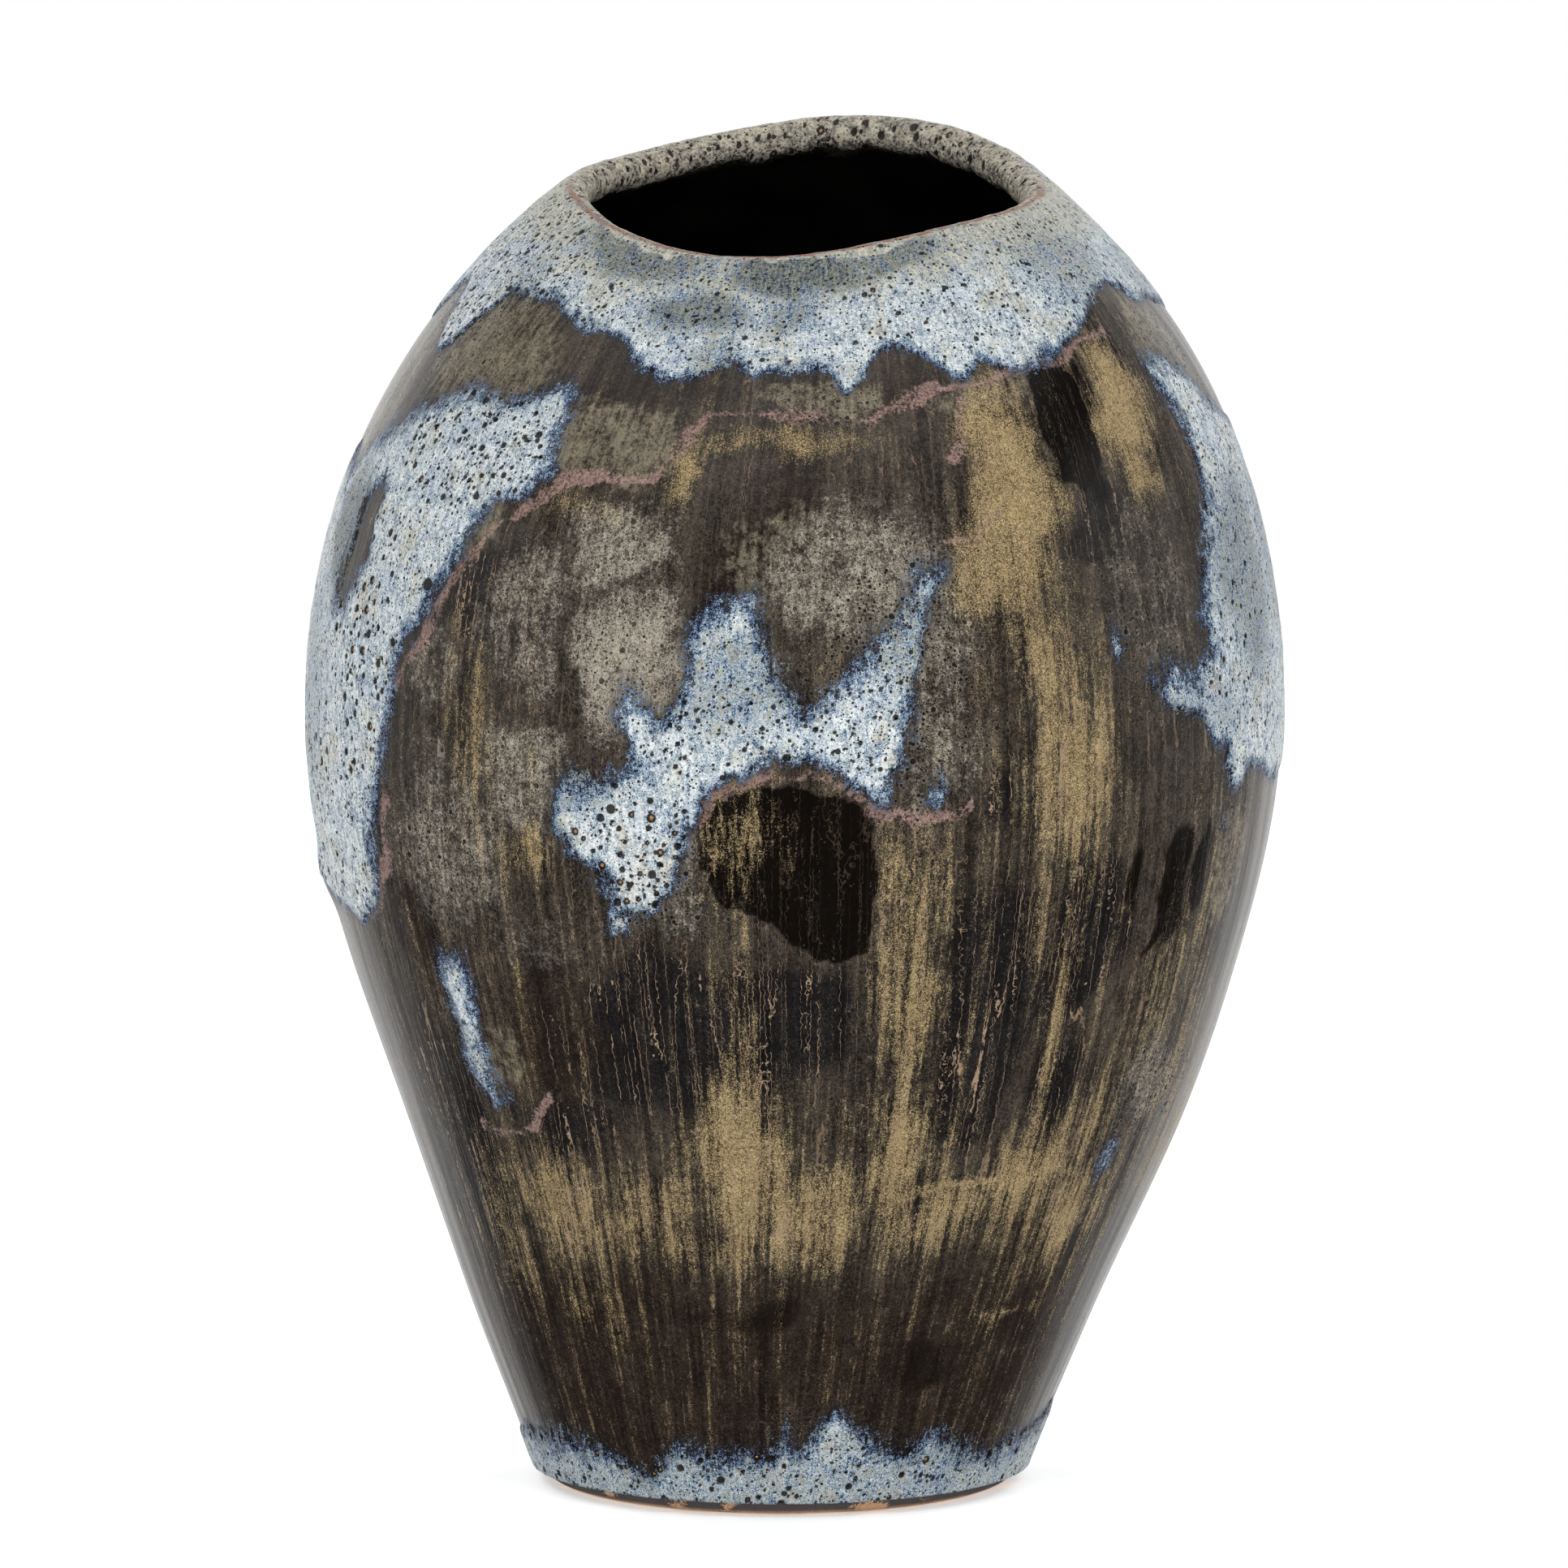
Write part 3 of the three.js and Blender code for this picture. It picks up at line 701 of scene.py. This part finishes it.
# Craters in each pale glaze:
# (angle, height, half width, half height, how many, smallest radius, largest radius).
CRATERS = {
    "centre_glaze_splash": [(-20, 172, 9, 18, 90, 0.5, 1.5), (-2, 200, 16, 18, 90, 0.4, 0.9)],
    "left_flank_glaze_run": [(-52, 268, 14, 16, 150, 0.5, 1.3), (-64, 215, 8, 34, 110, 0.6, 1.6),
                             (-80, 175, 16, 26, 110, 0.6, 1.5)],
    "right_flank_glaze_run": [(80, 225, 24, 40, 170, 0.5, 1.0)],
    "foot_glaze_band": [(angle, 12, 20, 9, 34, 0.45, 1.3) for angle in range(-180, 180, 30)],
    "shoulder_glaze_collar": [(angle, 306, 20, 13, 40, 0.35, 0.95) for angle in range(-180, 180, 30)]
                             + [(-75, 304, 26, 16, 150, 0.4, 1.2)]
                             + [(angle, 327, 20, 5, 26, 0.5, 1.3) for angle in range(-180, 180, 30)],
    "back_glaze_run": [(150, 240, 14, 34, 110, 0.5, 1.3)],
    "back_glaze_splash": [(-148, 196, 18, 30, 120, 0.5, 1.5)],
    "lower_left_glaze_streak": [],
}


def outline_grid(outline):
    margin = 7.0
    angles = [a for a, _ in outline]
    heights = [h for _, h in outline]
    side = math.degrees(margin / BELLY_RADIUS)
    step = math.degrees(PATCH_STEP / BELLY_RADIUS)
    angle = np.arange(min(angles) - side, max(angles) + side, step)
    path = np.arange(path_at(min(heights)) - margin, path_at(max(heights)) + margin, PATCH_STEP)
    return Places(angle[:, None], path[None, :])


PATCH_OUTLINES = {
    "left_flank_glaze_run": LEFT_FLANK,
    "centre_glaze_splash": CENTRE_SPLASH,
    "right_flank_glaze_run": RIGHT_FLANK,
    "lower_left_glaze_streak": LOWER_LEFT_STREAK,
    "back_glaze_run": BACK_RUN,
    "back_glaze_splash": BACK_SPLASH,
}


def pale_pieces(material):
    lowest_collar = float(path_at(min(height for _, height in COLLAR_EDGE))) - 8
    collar = ring_grid(RING_COLUMNS, lowest_collar, LIP_START + COLLAR_INSIDE + 4, RING_STEP)
    pale_piece("shoulder_glaze_collar", collar, material, True, CRATERS["shoulder_glaze_collar"])
    highest_band = float(path_at(max(height for _, height in FOOT_BAND_EDGE))) + 8
    band = ring_grid(RING_COLUMNS, 0, highest_band, RING_STEP)
    pale_piece("foot_glaze_band", band, material, True, CRATERS["foot_glaze_band"])
    for node, outline in PATCH_OUTLINES.items():
        pale_piece(node, outline_grid(outline), material, False, CRATERS[node])


def clay_body(material):
    """The fired clay: the flat foot and its rounded edge, and the wall under the glazes."""
    columns = INSIDE_COLUMNS
    angle = np.linspace(-180, 180, columns, endpoint=False)[:, None]
    path = np.linspace(0, PATH[-1], 240)
    wall = Places(angle, path[None, :]).lifted(-CLAY_DEPTH)
    outward_radius, outward_height = OUT[0]
    start = LINE[0] - OUT[0] * CLAY_DEPTH
    edge = start[1] / (1 + outward_height)
    centre = start[0] - outward_radius * edge
    turns = np.linspace(-math.pi / 2, math.atan2(outward_height, outward_radius), 10)[:-1]
    radii = np.concatenate([np.linspace(MIDDLE_RADIUS, centre, 40)[:-1], centre + edge * np.cos(turns)])
    heights = np.concatenate([np.zeros(39), edge + edge * np.sin(turns)])
    turn = np.radians(angle)
    foot = np.stack([
        radii * np.sin(turn) + FOOT_LEAN * (1 - smoothstep(0, FOOT_LEAN_TOP, heights)),
        -radii * np.cos(turn),
        np.broadcast_to(heights, (columns, len(heights))),
    ], axis=-1) * MM
    loop = np.concatenate([foot, wall], axis=1)
    rows = loop.shape[1]
    index = np.arange(columns * rows).reshape(columns, rows)
    right = np.roll(index, -1, axis=0)
    quads = np.stack([index[:, :-1], right[:, :-1], right[:, 1:], index[:, 1:]], axis=-1).reshape(-1, 4)
    caps = [index[::-1, 0].tolist(), index[:, -1].tolist()]
    mesh = bpy.data.meshes.new("stoneware_clay_body")
    mesh.from_pydata(loop.reshape(-1, 3).tolist(), [], quads.tolist() + caps)
    mesh.shade_smooth()
    side = smoothstep(0.2, 1.6, loop[..., 2] / MM)
    mesh.attributes.new("side", "FLOAT", "POINT").data.foreach_set("value", side.astype(np.float32).ravel())
    piece = bpy.data.objects.new("stoneware_clay_body", mesh)
    bpy.context.scene.collection.objects.link(piece)
    return finish_piece(piece, "stoneware_body", material)


# ---- Materials ----
def paint(red, green, blue):
    """A colour given as it looks on a screen, from 0 to 255, as the renderer's own colour."""
    linear = [((c / 255 + 0.055) / 1.055) ** 2.4 if c > 10 else c / 255 / 12.92 for c in (red, green, blue)]
    return (*linear, 1.0)


# Where the Mix node keeps its number and colour sockets, which share their names.
MIX_NUMBER_A, MIX_NUMBER_B = 2, 3
MIX_COLOUR_A, MIX_COLOUR_B, MIX_COLOUR_RESULT = 6, 7, 2


class Term:
    """A number, vector or colour in a node tree. Arithmetic on a number adds math nodes."""

    def __init__(self, tree, socket):
        self.tree, self.socket = tree, socket

    def _math(self, operation, *values):
        return node(self.tree, "ShaderNodeMath", values, operation=operation)

    def __add__(self, other):
        return self._math("ADD", self, other)

    __radd__ = __add__

    def __sub__(self, other):
        return self._math("SUBTRACT", self, other)

    def __rsub__(self, other):
        return self._math("SUBTRACT", other, self)

    def __mul__(self, other):
        return self._math("MULTIPLY", self, other)

    def __truediv__(self, other):
        return self._math("DIVIDE", self, other)

    def size(self):
        return self._math("ABSOLUTE", self)

    def most(self, other):
        return self._math("MAXIMUM", self, other)

    def least(self, other):
        return self._math("MINIMUM", self, other)

    def step(self, low, high):
        """0 at low, 1 at high, smooth between them and level beyond. Low may be above high."""
        return node(self.tree, "ShaderNodeMapRange", (self, low, high), interpolation_type="SMOOTHSTEP")

    def choose(self, low, high):
        """A number that goes from low to high as this number goes from 0 to 1."""
        inputs = {"Factor": self, MIX_NUMBER_A: low, MIX_NUMBER_B: high}
        return node(self.tree, "ShaderNodeMix", inputs, data_type="FLOAT")

    def mix(self, low, high):
        """A colour that goes from low to high as this number goes from 0 to 1."""
        inputs = {"Factor": self, MIX_COLOUR_A: low, MIX_COLOUR_B: high}
        return node(self.tree, "ShaderNodeMix", inputs, output=MIX_COLOUR_RESULT, data_type="RGBA")


def node(tree, kind, inputs=(), output=0, **settings):
    """Add a node, set or link its inputs and settings, and give one of its outputs as a Term."""
    made = tree.nodes.new(kind)
    for name, value in settings.items():
        setattr(made, name, value)
    pairs = inputs.items() if isinstance(inputs, dict) else enumerate(inputs)
    for key, value in pairs:
        socket = made.inputs[key]
        if isinstance(value, Term):
            tree.links.new(value.socket, socket)
        else:
            socket.default_value = value
    return Term(tree, made.outputs[output])


def new_material(name):
    material = bpy.data.materials.new(name)
    material.use_nodes = True
    material.node_tree.nodes.clear()
    return material, material.node_tree


def field(tree, name, output="Fac"):
    return node(tree, "ShaderNodeAttribute", output=output, attribute_name=name)


def stretched(tree, vector, scale):
    return node(tree, "ShaderNodeVectorMath", (vector, scale), operation="MULTIPLY")


# Brings the noise node's values, which gather round a half, to about -1 to 1.
NOISE_SPREAD = 4.6


def grain(tree, vector, cell, detail=2.0, roughness=0.5):
    """Noise from about -1 to 1 whose features are about one cell across, in millimetres."""
    inputs = {"Vector": vector, "Scale": 1 / (cell * MM), "Detail": detail, "Roughness": roughness}
    return (node(tree, "ShaderNodeTexNoise", inputs) - 0.5) * NOISE_SPREAD


def wiggled(tree, vector, cell, amount):
    """A vector moved by up to about amount millimetres of noise."""
    inputs = {"Vector": vector, "Scale": 1 / (cell * MM), "Detail": 1.0}
    drift = node(tree, "ShaderNodeTexNoise", inputs, output="Color")
    centred = node(tree, "ShaderNodeVectorMath", (drift, (0.5, 0.5, 0.5)), operation="SUBTRACT")
    reach = (amount * MM * NOISE_SPREAD,) * 3
    return node(tree, "ShaderNodeVectorMath", (centred, reach, vector), operation="MULTIPLY_ADD")


def ramp(tree, factor, stops):
    """A colour read from (position, colour) stops."""
    made = node(tree, "ShaderNodeValToRGB", (factor,))
    elements = made.socket.node.color_ramp.elements
    while len(elements) < len(stops):
        elements.new(0.5)
    for element, (position, colour) in zip(elements, stops):
        element.position = position
        element.color = colour
    return made


def pinholes(tree, vector, cell, smallest, largest, share):
    """Round pits: one try to a cell, of which about share are made, with radii as parts of a cell.

    Gives how far inside a pit each point is: 1 in its middle, 0 at its rim and below 0 outside it.
    """
    inputs = {"Vector": vector, "Scale": 1 / (cell * MM), "Randomness": 1.0}
    distance = node(tree, "ShaderNodeTexVoronoi", inputs, output="Distance")
    voronoi = distance.socket.node
    split = tree.nodes.new("ShaderNodeSeparateColor")
    tree.links.new(voronoi.outputs["Color"], split.inputs[0])
    size, luck = Term(tree, split.outputs[0]), Term(tree, split.outputs[1])
    radius = size * size * (largest - smallest) + smallest
    missing = (luck - share).step(-0.02, 0.02) * 9.0
    return 1.0 - distance / radius - missing


def surface(tree, colour, roughness, height, metallic=0.0):
    """A Principled surface with bump of height millimetres."""
    bump = node(tree, "ShaderNodeBump", {"Height": height, "Distance": MM, "Strength": 1.0})
    inputs = {"Base Color": colour, "Roughness": roughness, "Normal": bump, "Metallic": metallic}
    shader = node(tree, "ShaderNodeBsdfPrincipled", inputs)
    output = tree.nodes.new("ShaderNodeOutputMaterial")
    tree.links.new(shader.socket, output.inputs["Surface"])


# The pale glaze's colours as its grains crowd together: (crowding, colour).
PALE_TONES = [
    (0.00, (26, 28, 36)), (0.10, (36, 52, 90)), (0.20, (64, 92, 130)), (0.36, (112, 130, 144)),
    (0.58, (164, 175, 181)), (0.80, (200, 207, 209)), (1.00, (230, 233, 230)),
]

# Paths between which the gold dust changes from streaks below to even patches above.
STREAKS_START = 215.0
STREAKS_END = 250.0


def glaze_material():
    """The reactive glazes as one melt: a dark ground and pale glaze, told apart by the meshes' fields."""
    material, tree = new_material("reactive_glaze")
    place = node(tree, "ShaderNodeTexCoord", output="Object")
    streaks = field(tree, "streaks", "Vector")
    pale, thin, gold, black = (field(tree, name) for name in ("pale", "thin", "gold", "black"))
    slate, grey, olive, brown = (field(tree, name) for name in ("slate", "grey", "olive", "brown"))
    mauve, pitted, lip = (field(tree, name) for name in ("mauve", "pitted", "lip"))
    hollow, bare = (field(tree, name) for name in ("hollow", "bare"))

    speckle = grain(tree, place, 0.30, detail=1.0)
    fine = grain(tree, place, 0.8, detail=3.0, roughness=0.65)
    clump = grain(tree, place, 2.6, detail=3.0, roughness=0.6)
    cloud = grain(tree, place, 9.0, detail=3.0, roughness=0.6)
    crinkled = wiggled(tree, streaks, 1.8, 0.3)
    run = grain(tree, stretched(tree, crinkled, (1, 1, 0.07)), 1.5, detail=3.0, roughness=0.6)
    broad_run = grain(tree, stretched(tree, crinkled, (1, 1, 0.06)), 5.5, detail=2.0)
    feather = grain(tree, stretched(tree, crinkled, (1, 1, 0.22)), 1.1, detail=2.0)

    # The ground: brown-black, slate where it cooled matt, and deep brown low down.
    tone = run * 0.20 + broad_run * 0.20 + fine * 0.24 + cloud * 0.12 + clump * 0.10 + speckle * 0.26
    ground = tone.step(-0.5, 0.75).mix(paint(20, 17, 14), paint(84, 76, 66))
    slate_mask = (slate + run * 0.14 + clump * 0.1).step(0.2, 0.6)
    ground = slate_mask.mix(ground, tone.step(-0.4, 0.9).mix(paint(14, 13, 14), paint(54, 50, 47)))
    brown_colour = tone.step(-0.5, 0.75).mix(paint(16, 12, 10), paint(60, 49, 40))
    ground = (brown * 0.94).mix(ground, brown_colour)

    olive_mask = (olive + clump * 0.2 + run * 0.12).step(0.25, 0.75)
    olive_tone = cloud * 0.22 + run * 0.26 + clump * 0.24 + fine * 0.32 + speckle * 0.24
    olive_colour = olive_tone.step(-0.6, 0.7).mix(paint(32, 26, 20), paint(132, 123, 104))
    ground = olive_mask.mix(ground, olive_colour)

    grey_mask = (grey + clump * 0.30 + cloud * 0.20 + fine * 0.20 + run * 0.24).step(0.1, 1.15)
    grey_tone = (grey - 0.95) * 0.8 + speckle * 0.46 + fine * 0.38
    grey_tone = grey_tone + clump * 0.26 + cloud * 0.16 + run * 0.24
    grey_colour = ramp(tree, grey_tone.step(-1.1, 1.1), [
        (0.0, paint(24, 20, 16)), (0.45, paint(88, 81, 71)), (1.0, paint(178, 170, 154))])
    ground = (grey_mask * 0.9).mix(ground, grey_colour)

    # Gold: a dust of bronze grains, thick in streaks that run down.
    split = tree.nodes.new("ShaderNodeSeparateXYZ")
    tree.links.new(streaks.socket, split.inputs[0])
    toward_back, up_the_wall = Term(tree, split.outputs[1]), Term(tree, split.outputs[2])
    streakiness = up_the_wall.step(STREAKS_END * MM, STREAKS_START * MM) * 0.65 + 0.35
    dust = gold * 0.85 + (run * 0.42 + broad_run * 0.34) * streakiness + feather * 0.14 + clump * 0.12
    gold_mask = (dust + speckle * 0.3).step(0.25, 1.15)
    gold_tone = speckle * 0.5 + fine * 0.3 + cloud * 0.15
    gold_colour = gold_tone.step(-0.7, 0.8).mix(paint(76, 60, 37), paint(206, 181, 131))
    ground = (gold_mask * 0.95).mix(ground, gold_colour)

    # Near-black patches, partly dark glaze and partly painted dark reflections, with gold dust left on them
    # in streaks.
    window = (black + run * 0.14 + fine * 0.08).step(0.34, 0.66)
    dusted = (gold - 0.5 + run * 0.6 + feather * 0.3 + speckle * 0.35).step(0.0, 0.8)
    ground = (window * (0.97 - dusted * 0.85)).mix(ground, paint(7, 4, 2))

    # Tan veins that wander down through the dark zones and break off.
    narrow = stretched(tree, wiggled(tree, streaks, 1.3, 0.25), (1, 1, 0.03))
    broad = stretched(tree, wiggled(tree, streaks, 1.6, 0.35), (1, 1, 0.05))
    torn = grain(tree, stretched(tree, place, (1, 1, 0.4)), 2.6, detail=4.0, roughness=0.65)
    width = fine * 0.02 + 0.06
    first_vein = (grain(tree, narrow, 2.4, detail=0.0).size() / width).step(1.0, 0.4)
    second_vein = (grain(tree, broad, 4.4, detail=0.0).size() / width).step(0.7, 0.3)
    dark = slate.most(gold * 0.7).most(0.3) - grey_mask * 0.8 - olive_mask - brown * 0.2
    vein = first_vein.most(second_vein) * torn.step(-0.5, 0.05)
    vein = vein * dark.step(0.05, 0.6) * (1.0 - window * 0.75)
    ground = (vein * 0.78).mix(ground, paint(156, 132, 108))

    mauve_mask = (mauve + fine * 0.3 + clump * 0.15 - 0.1).step(0.2, 0.8)
    mauve_colour = (speckle * 0.4 + fine * 0.4).step(-0.6, 0.6).mix(paint(80, 56, 54), paint(172, 142, 132))
    ground = (mauve_mask * 0.72).mix(ground, mauve_colour)

    # Pale glaze: grains that crowd together, deep blue where they are few and near white where many.
    crowd = (pale / 4.8).least(0.95).most(-1.5) - thin * 0.45
    crowd = crowd + clump * 0.30 + fine * 0.42 + speckle * 0.50 + feather * 0.28 + cloud * 0.12
    pale_mask = crowd.step(-0.06, 0.10)
    tones = [(position, paint(*colour)) for position, colour in PALE_TONES]
    pale_colour = ramp(tree, (crowd + 0.10) / 1.65, tones)
    near_lip = (lip + cloud * 4.0 + feather * 2.0).step(-20.0, -6.0) * 0.75
    cream = ((cloud + run * 0.3).step(0.0, 1.0) * 0.65).most(near_lip)
    cream_tone = (fine * 0.5 + feather * 0.3).step(-0.7, 0.6)
    cream_colour = cream_tone.mix(paint(112, 105, 86), paint(190, 185, 163))
    pale_colour = (cream * crowd.step(0.3, 0.9)).mix(pale_colour, cream_colour)
    lilac = (cloud * -1.0 - 0.15).step(0.0, 0.9) * 0.4
    pale_colour = (lilac * crowd.step(0.4, 1.0)).mix(pale_colour, paint(164, 176, 202))
    shaded = (thin + clump * 0.42 + feather * 0.34 + fine * 0.2).step(0.3, 1.1) * 0.8
    shade_tone = (fine * 0.4 + feather * 0.4 + speckle * 0.2).step(-0.5, 0.6)
    pale_colour = shaded.mix(pale_colour, shade_tone.mix(paint(20, 33, 44), paint(122, 125, 108)))
    over_lip = lip.step(-1.0, 4.0) * 0.8
    over_tone = (fine * 0.5 + clump * 0.4).step(-0.6, 0.6)
    pale_colour = over_lip.mix(pale_colour, over_tone.mix(paint(74, 63, 50), paint(192, 184, 164)))
    colour = pale_mask.mix(ground, pale_colour)

    # Where the glaze drew back from the sharp lip it broke to rust brown.
    front = toward_back.step(0.03, -0.02)
    lip_line = (lip + clump * 0.5 + cloud * 0.3 - 2.2).size().step(1.1, 0.4)
    lip_line = lip_line * (fine + clump).step(-0.9, 0.0)
    colour = (lip_line * front * 0.9).mix(colour, paint(122, 64, 32))

    # Pinholes and burst bubbles, black inside, with bare clay at the bottom of some of the wide ones.
    crowded = (pitted * 0.5 + cloud * 0.2).step(-0.2, 0.8)
    small = pinholes(tree, place, 1.3, 0.20, 0.42, crowded * 0.5 + 0.4)
    wide = pinholes(tree, place, 2.6, 0.14, 0.34, crowded * 0.6 + 0.25)
    rough_ground = (pitted + cloud * 0.25 + clump * 0.2).step(0.25, 0.7)
    rough_ground = rough_ground.most(grey_mask * 0.85).most(olive_mask * 0.4)
    many = crowd.step(0.15, 0.6).most(rough_ground)
    tiny = pinholes(tree, place, 0.85, 0.20, 0.40, crowded * 0.35 + 0.3)
    hole = small.most(wide).most(tiny)
    holes = hole.step(0.0, 0.35) * many
    rims = hole.step(-0.5, -0.12) * many - holes
    colour = (rims * 0.08).mix(colour, paint(206, 196, 176))
    colour = (holes * 0.94).mix(colour, paint(17, 14, 12))
    crater = hollow.step(0.06, 0.28)
    colour = (crater * 0.94).mix(colour, paint(18, 15, 13))
    clay_shows = hollow.step(0.52, 0.75) * bare.step(0.4, 0.6)
    colour = clay_shows.mix(colour, paint(170, 126, 88))

    matt = (gold_mask * 0.26).most(grey_mask * 0.26).most(mauve_mask * 0.2).most(pale_mask * 0.18)
    roughness = matt + 0.15 + fine * 0.02 + holes * 0.3
    gritty = gold_mask.most(grey_mask).most(pale_mask)
    height = speckle * (gritty * 0.03 + 0.004) + run * 0.02 + vein * 0.05 + fine * (gritty * 0.05 + 0.006)
    height = height + pale_mask * 0.12 + mauve_mask * 0.10 - holes * 0.45
    surface(tree, colour, roughness, height, metallic=gold_mask * 0.2)
    return material


def liner_material():
    """Black glass inside, with the ragged end of the pale glaze over the lip."""
    material, tree = new_material("liner_glaze")
    place = node(tree, "ShaderNodeTexCoord", output="Object")
    pale = field(tree, "pale")
    fine = grain(tree, place, 1.1, detail=3.0, roughness=0.6)
    pool = grain(tree, place, 24.0, detail=2.0)
    black = pool.step(-0.5, 0.7).mix(paint(5, 5, 5), paint(16, 14, 12))
    edge = (pale + fine * 1.4).step(-1.4, 0.6)
    colour = edge.mix(black, paint(44, 40, 36))
    surface(tree, colour, 0.16 + fine * 0.02, pool * 0.15 + fine * 0.01)
    return material


def clay_material():
    """Bare fired stoneware: buff and sandy, darkened to grey on the rounded edge of the foot but for chips.
    """
    material, tree = new_material("bare_stoneware")
    place = node(tree, "ShaderNodeTexCoord", output="Object")
    sand = grain(tree, place, 0.6, detail=2.0)
    cloud = grain(tree, place, 14.0, detail=3.0)
    rings = node(tree, "ShaderNodeTexWave", {"Vector": place, "Scale": 0.9 / (7 * MM), "Distortion": 3.0,
                                             "Detail": 2.0, "Detail Scale": 0.6}, output=1)
    colour = cloud.step(-0.6, 0.6).mix(paint(186, 146, 112), paint(216, 180, 146))
    colour = (sand.step(0.4, 0.7) * 0.6).mix(colour, paint(120, 84, 58))
    # The foot's rounded edge is darkened to grey, but for peach chips.
    side = field(tree, "side")
    greyed_foot_edge = side * (cloud + sand * 0.2 + 0.5).step(-0.1, 0.15)
    colour = (greyed_foot_edge * 0.95).mix(colour, paint(58, 57, 60))
    surface(tree, colour, 0.85 + sand * 0.03, sand * 0.03 + rings * 0.12)
    return material


glaze = glaze_material()
clay_body(clay_material())
base_coat(glaze)
liner(liner_material())
pale_pieces(glaze)

# ---- Floor, light and camera ----
CAMERA_ELEVATION = math.radians(9.0)
CAMERA_DISTANCE = 9.0
VIEW_WIDTH = 0.3848
SENSOR_WIDTH = 36.0
AIM = Vector((-0.0027, 0.0, 0.1723))
FLOOR_RADIUS = 1.3
FLOOR_GAP = 0.0001
SOFTBOX_SIZE = 1.6
FILL = 0.55


def floor():
    mesh = bpy.data.meshes.new("floor")
    sides = 96
    turns = [2 * math.pi * k / sides for k in range(sides)]
    ring = [(FLOOR_RADIUS * math.cos(turn), FLOOR_RADIUS * math.sin(turn), -FLOOR_GAP) for turn in turns]
    mesh.from_pydata(ring, [], [list(range(sides))])
    piece = bpy.data.objects.new("floor", mesh)
    bpy.context.scene.collection.objects.link(piece)
    material, tree = new_material("floor_white")
    glow = {"Base Color": (0.98, 0.98, 0.98, 1), "Roughness": 0.9, "Emission Color": (1, 1, 1, 1),
            "Emission Strength": 0.3}
    shader = node(tree, "ShaderNodeBsdfPrincipled", glow)
    output = tree.nodes.new("ShaderNodeOutputMaterial")
    tree.links.new(shader.socket, output.inputs["Surface"])
    mesh.materials.append(material)
    piece.visible_glossy = False


def softbox(name, place, power):
    """A large square light that faces the middle of the vase and leaves no mirror image in the glaze."""
    light = bpy.data.lights.new(name, "AREA")
    light.size = SOFTBOX_SIZE
    light.energy = power
    lamp = bpy.data.objects.new(name, light)
    lamp.location = place
    lamp.rotation_mode = "QUATERNION"
    lamp.rotation_quaternion = (AIM - Vector(place)).to_track_quat("-Z", "Y")
    lamp.visible_glossy = False
    lamp.visible_camera = False
    bpy.context.scene.collection.objects.link(lamp)


def studio():
    """White to the camera, even fill for diffuse light, and a dim front with bright sides to reflect."""
    world = bpy.data.worlds.new("studio")
    bpy.context.scene.world = world
    world.use_nodes = True
    tree = world.node_tree
    tree.nodes.clear()
    toward = tree.nodes.new("ShaderNodeTexCoord")
    split = tree.nodes.new("ShaderNodeSeparateXYZ")
    tree.links.new(toward.outputs["Generated"], split.inputs[0])
    side, back, up = (Term(tree, split.outputs[axis]) for axis in range(3))
    behind = back.step(0.4, 1.0)
    flank = (side.size() - 0.93).size().step(0.10, 0.02) * up.step(-0.4, 0.0) * up.step(0.7, 0.5)
    overhead = up.step(0.55, 0.9)
    mirrored = (behind * 0.85).most(flank * 0.35).most(overhead * 0.5) + 0.04
    ray = tree.nodes.new("ShaderNodeLightPath")
    seen, glossy = Term(tree, ray.outputs["Is Camera Ray"]), Term(tree, ray.outputs["Is Glossy Ray"])
    strength = glossy.choose(FILL, mirrored)
    strength = seen.choose(strength, 1.0)
    background = node(tree, "ShaderNodeBackground", {"Color": (1, 1, 1, 1), "Strength": strength})
    output = tree.nodes.new("ShaderNodeOutputWorld")
    tree.links.new(background.socket, output.inputs["Surface"])


def camera():
    """A camera far off with a long lens, because the vase shows next to no perspective."""
    data = bpy.data.cameras.new("camera")
    data.sensor_width = SENSOR_WIDTH
    data.lens = SENSOR_WIDTH * CAMERA_DISTANCE / VIEW_WIDTH
    data.clip_end = 30
    back = Vector((0, -math.cos(CAMERA_ELEVATION), math.sin(CAMERA_ELEVATION)))
    piece = bpy.data.objects.new("camera", data)
    piece.location = AIM + back * CAMERA_DISTANCE
    piece.rotation_mode = "QUATERNION"
    piece.rotation_quaternion = (-back).to_track_quat("-Z", "Y")
    bpy.context.scene.collection.objects.link(piece)
    bpy.context.scene.camera = piece


floor()
softbox("key_left", (-1.3, -1.9, 1.5), 28)
softbox("key_right", (1.4, -1.8, 1.3), 29)
softbox("back_left", (-1.4, 1.7, 1.4), 26)
softbox("back_right", (1.4, 1.7, 1.4), 26)
studio()
camera()
bpy.context.scene.view_settings.view_transform = "Standard"
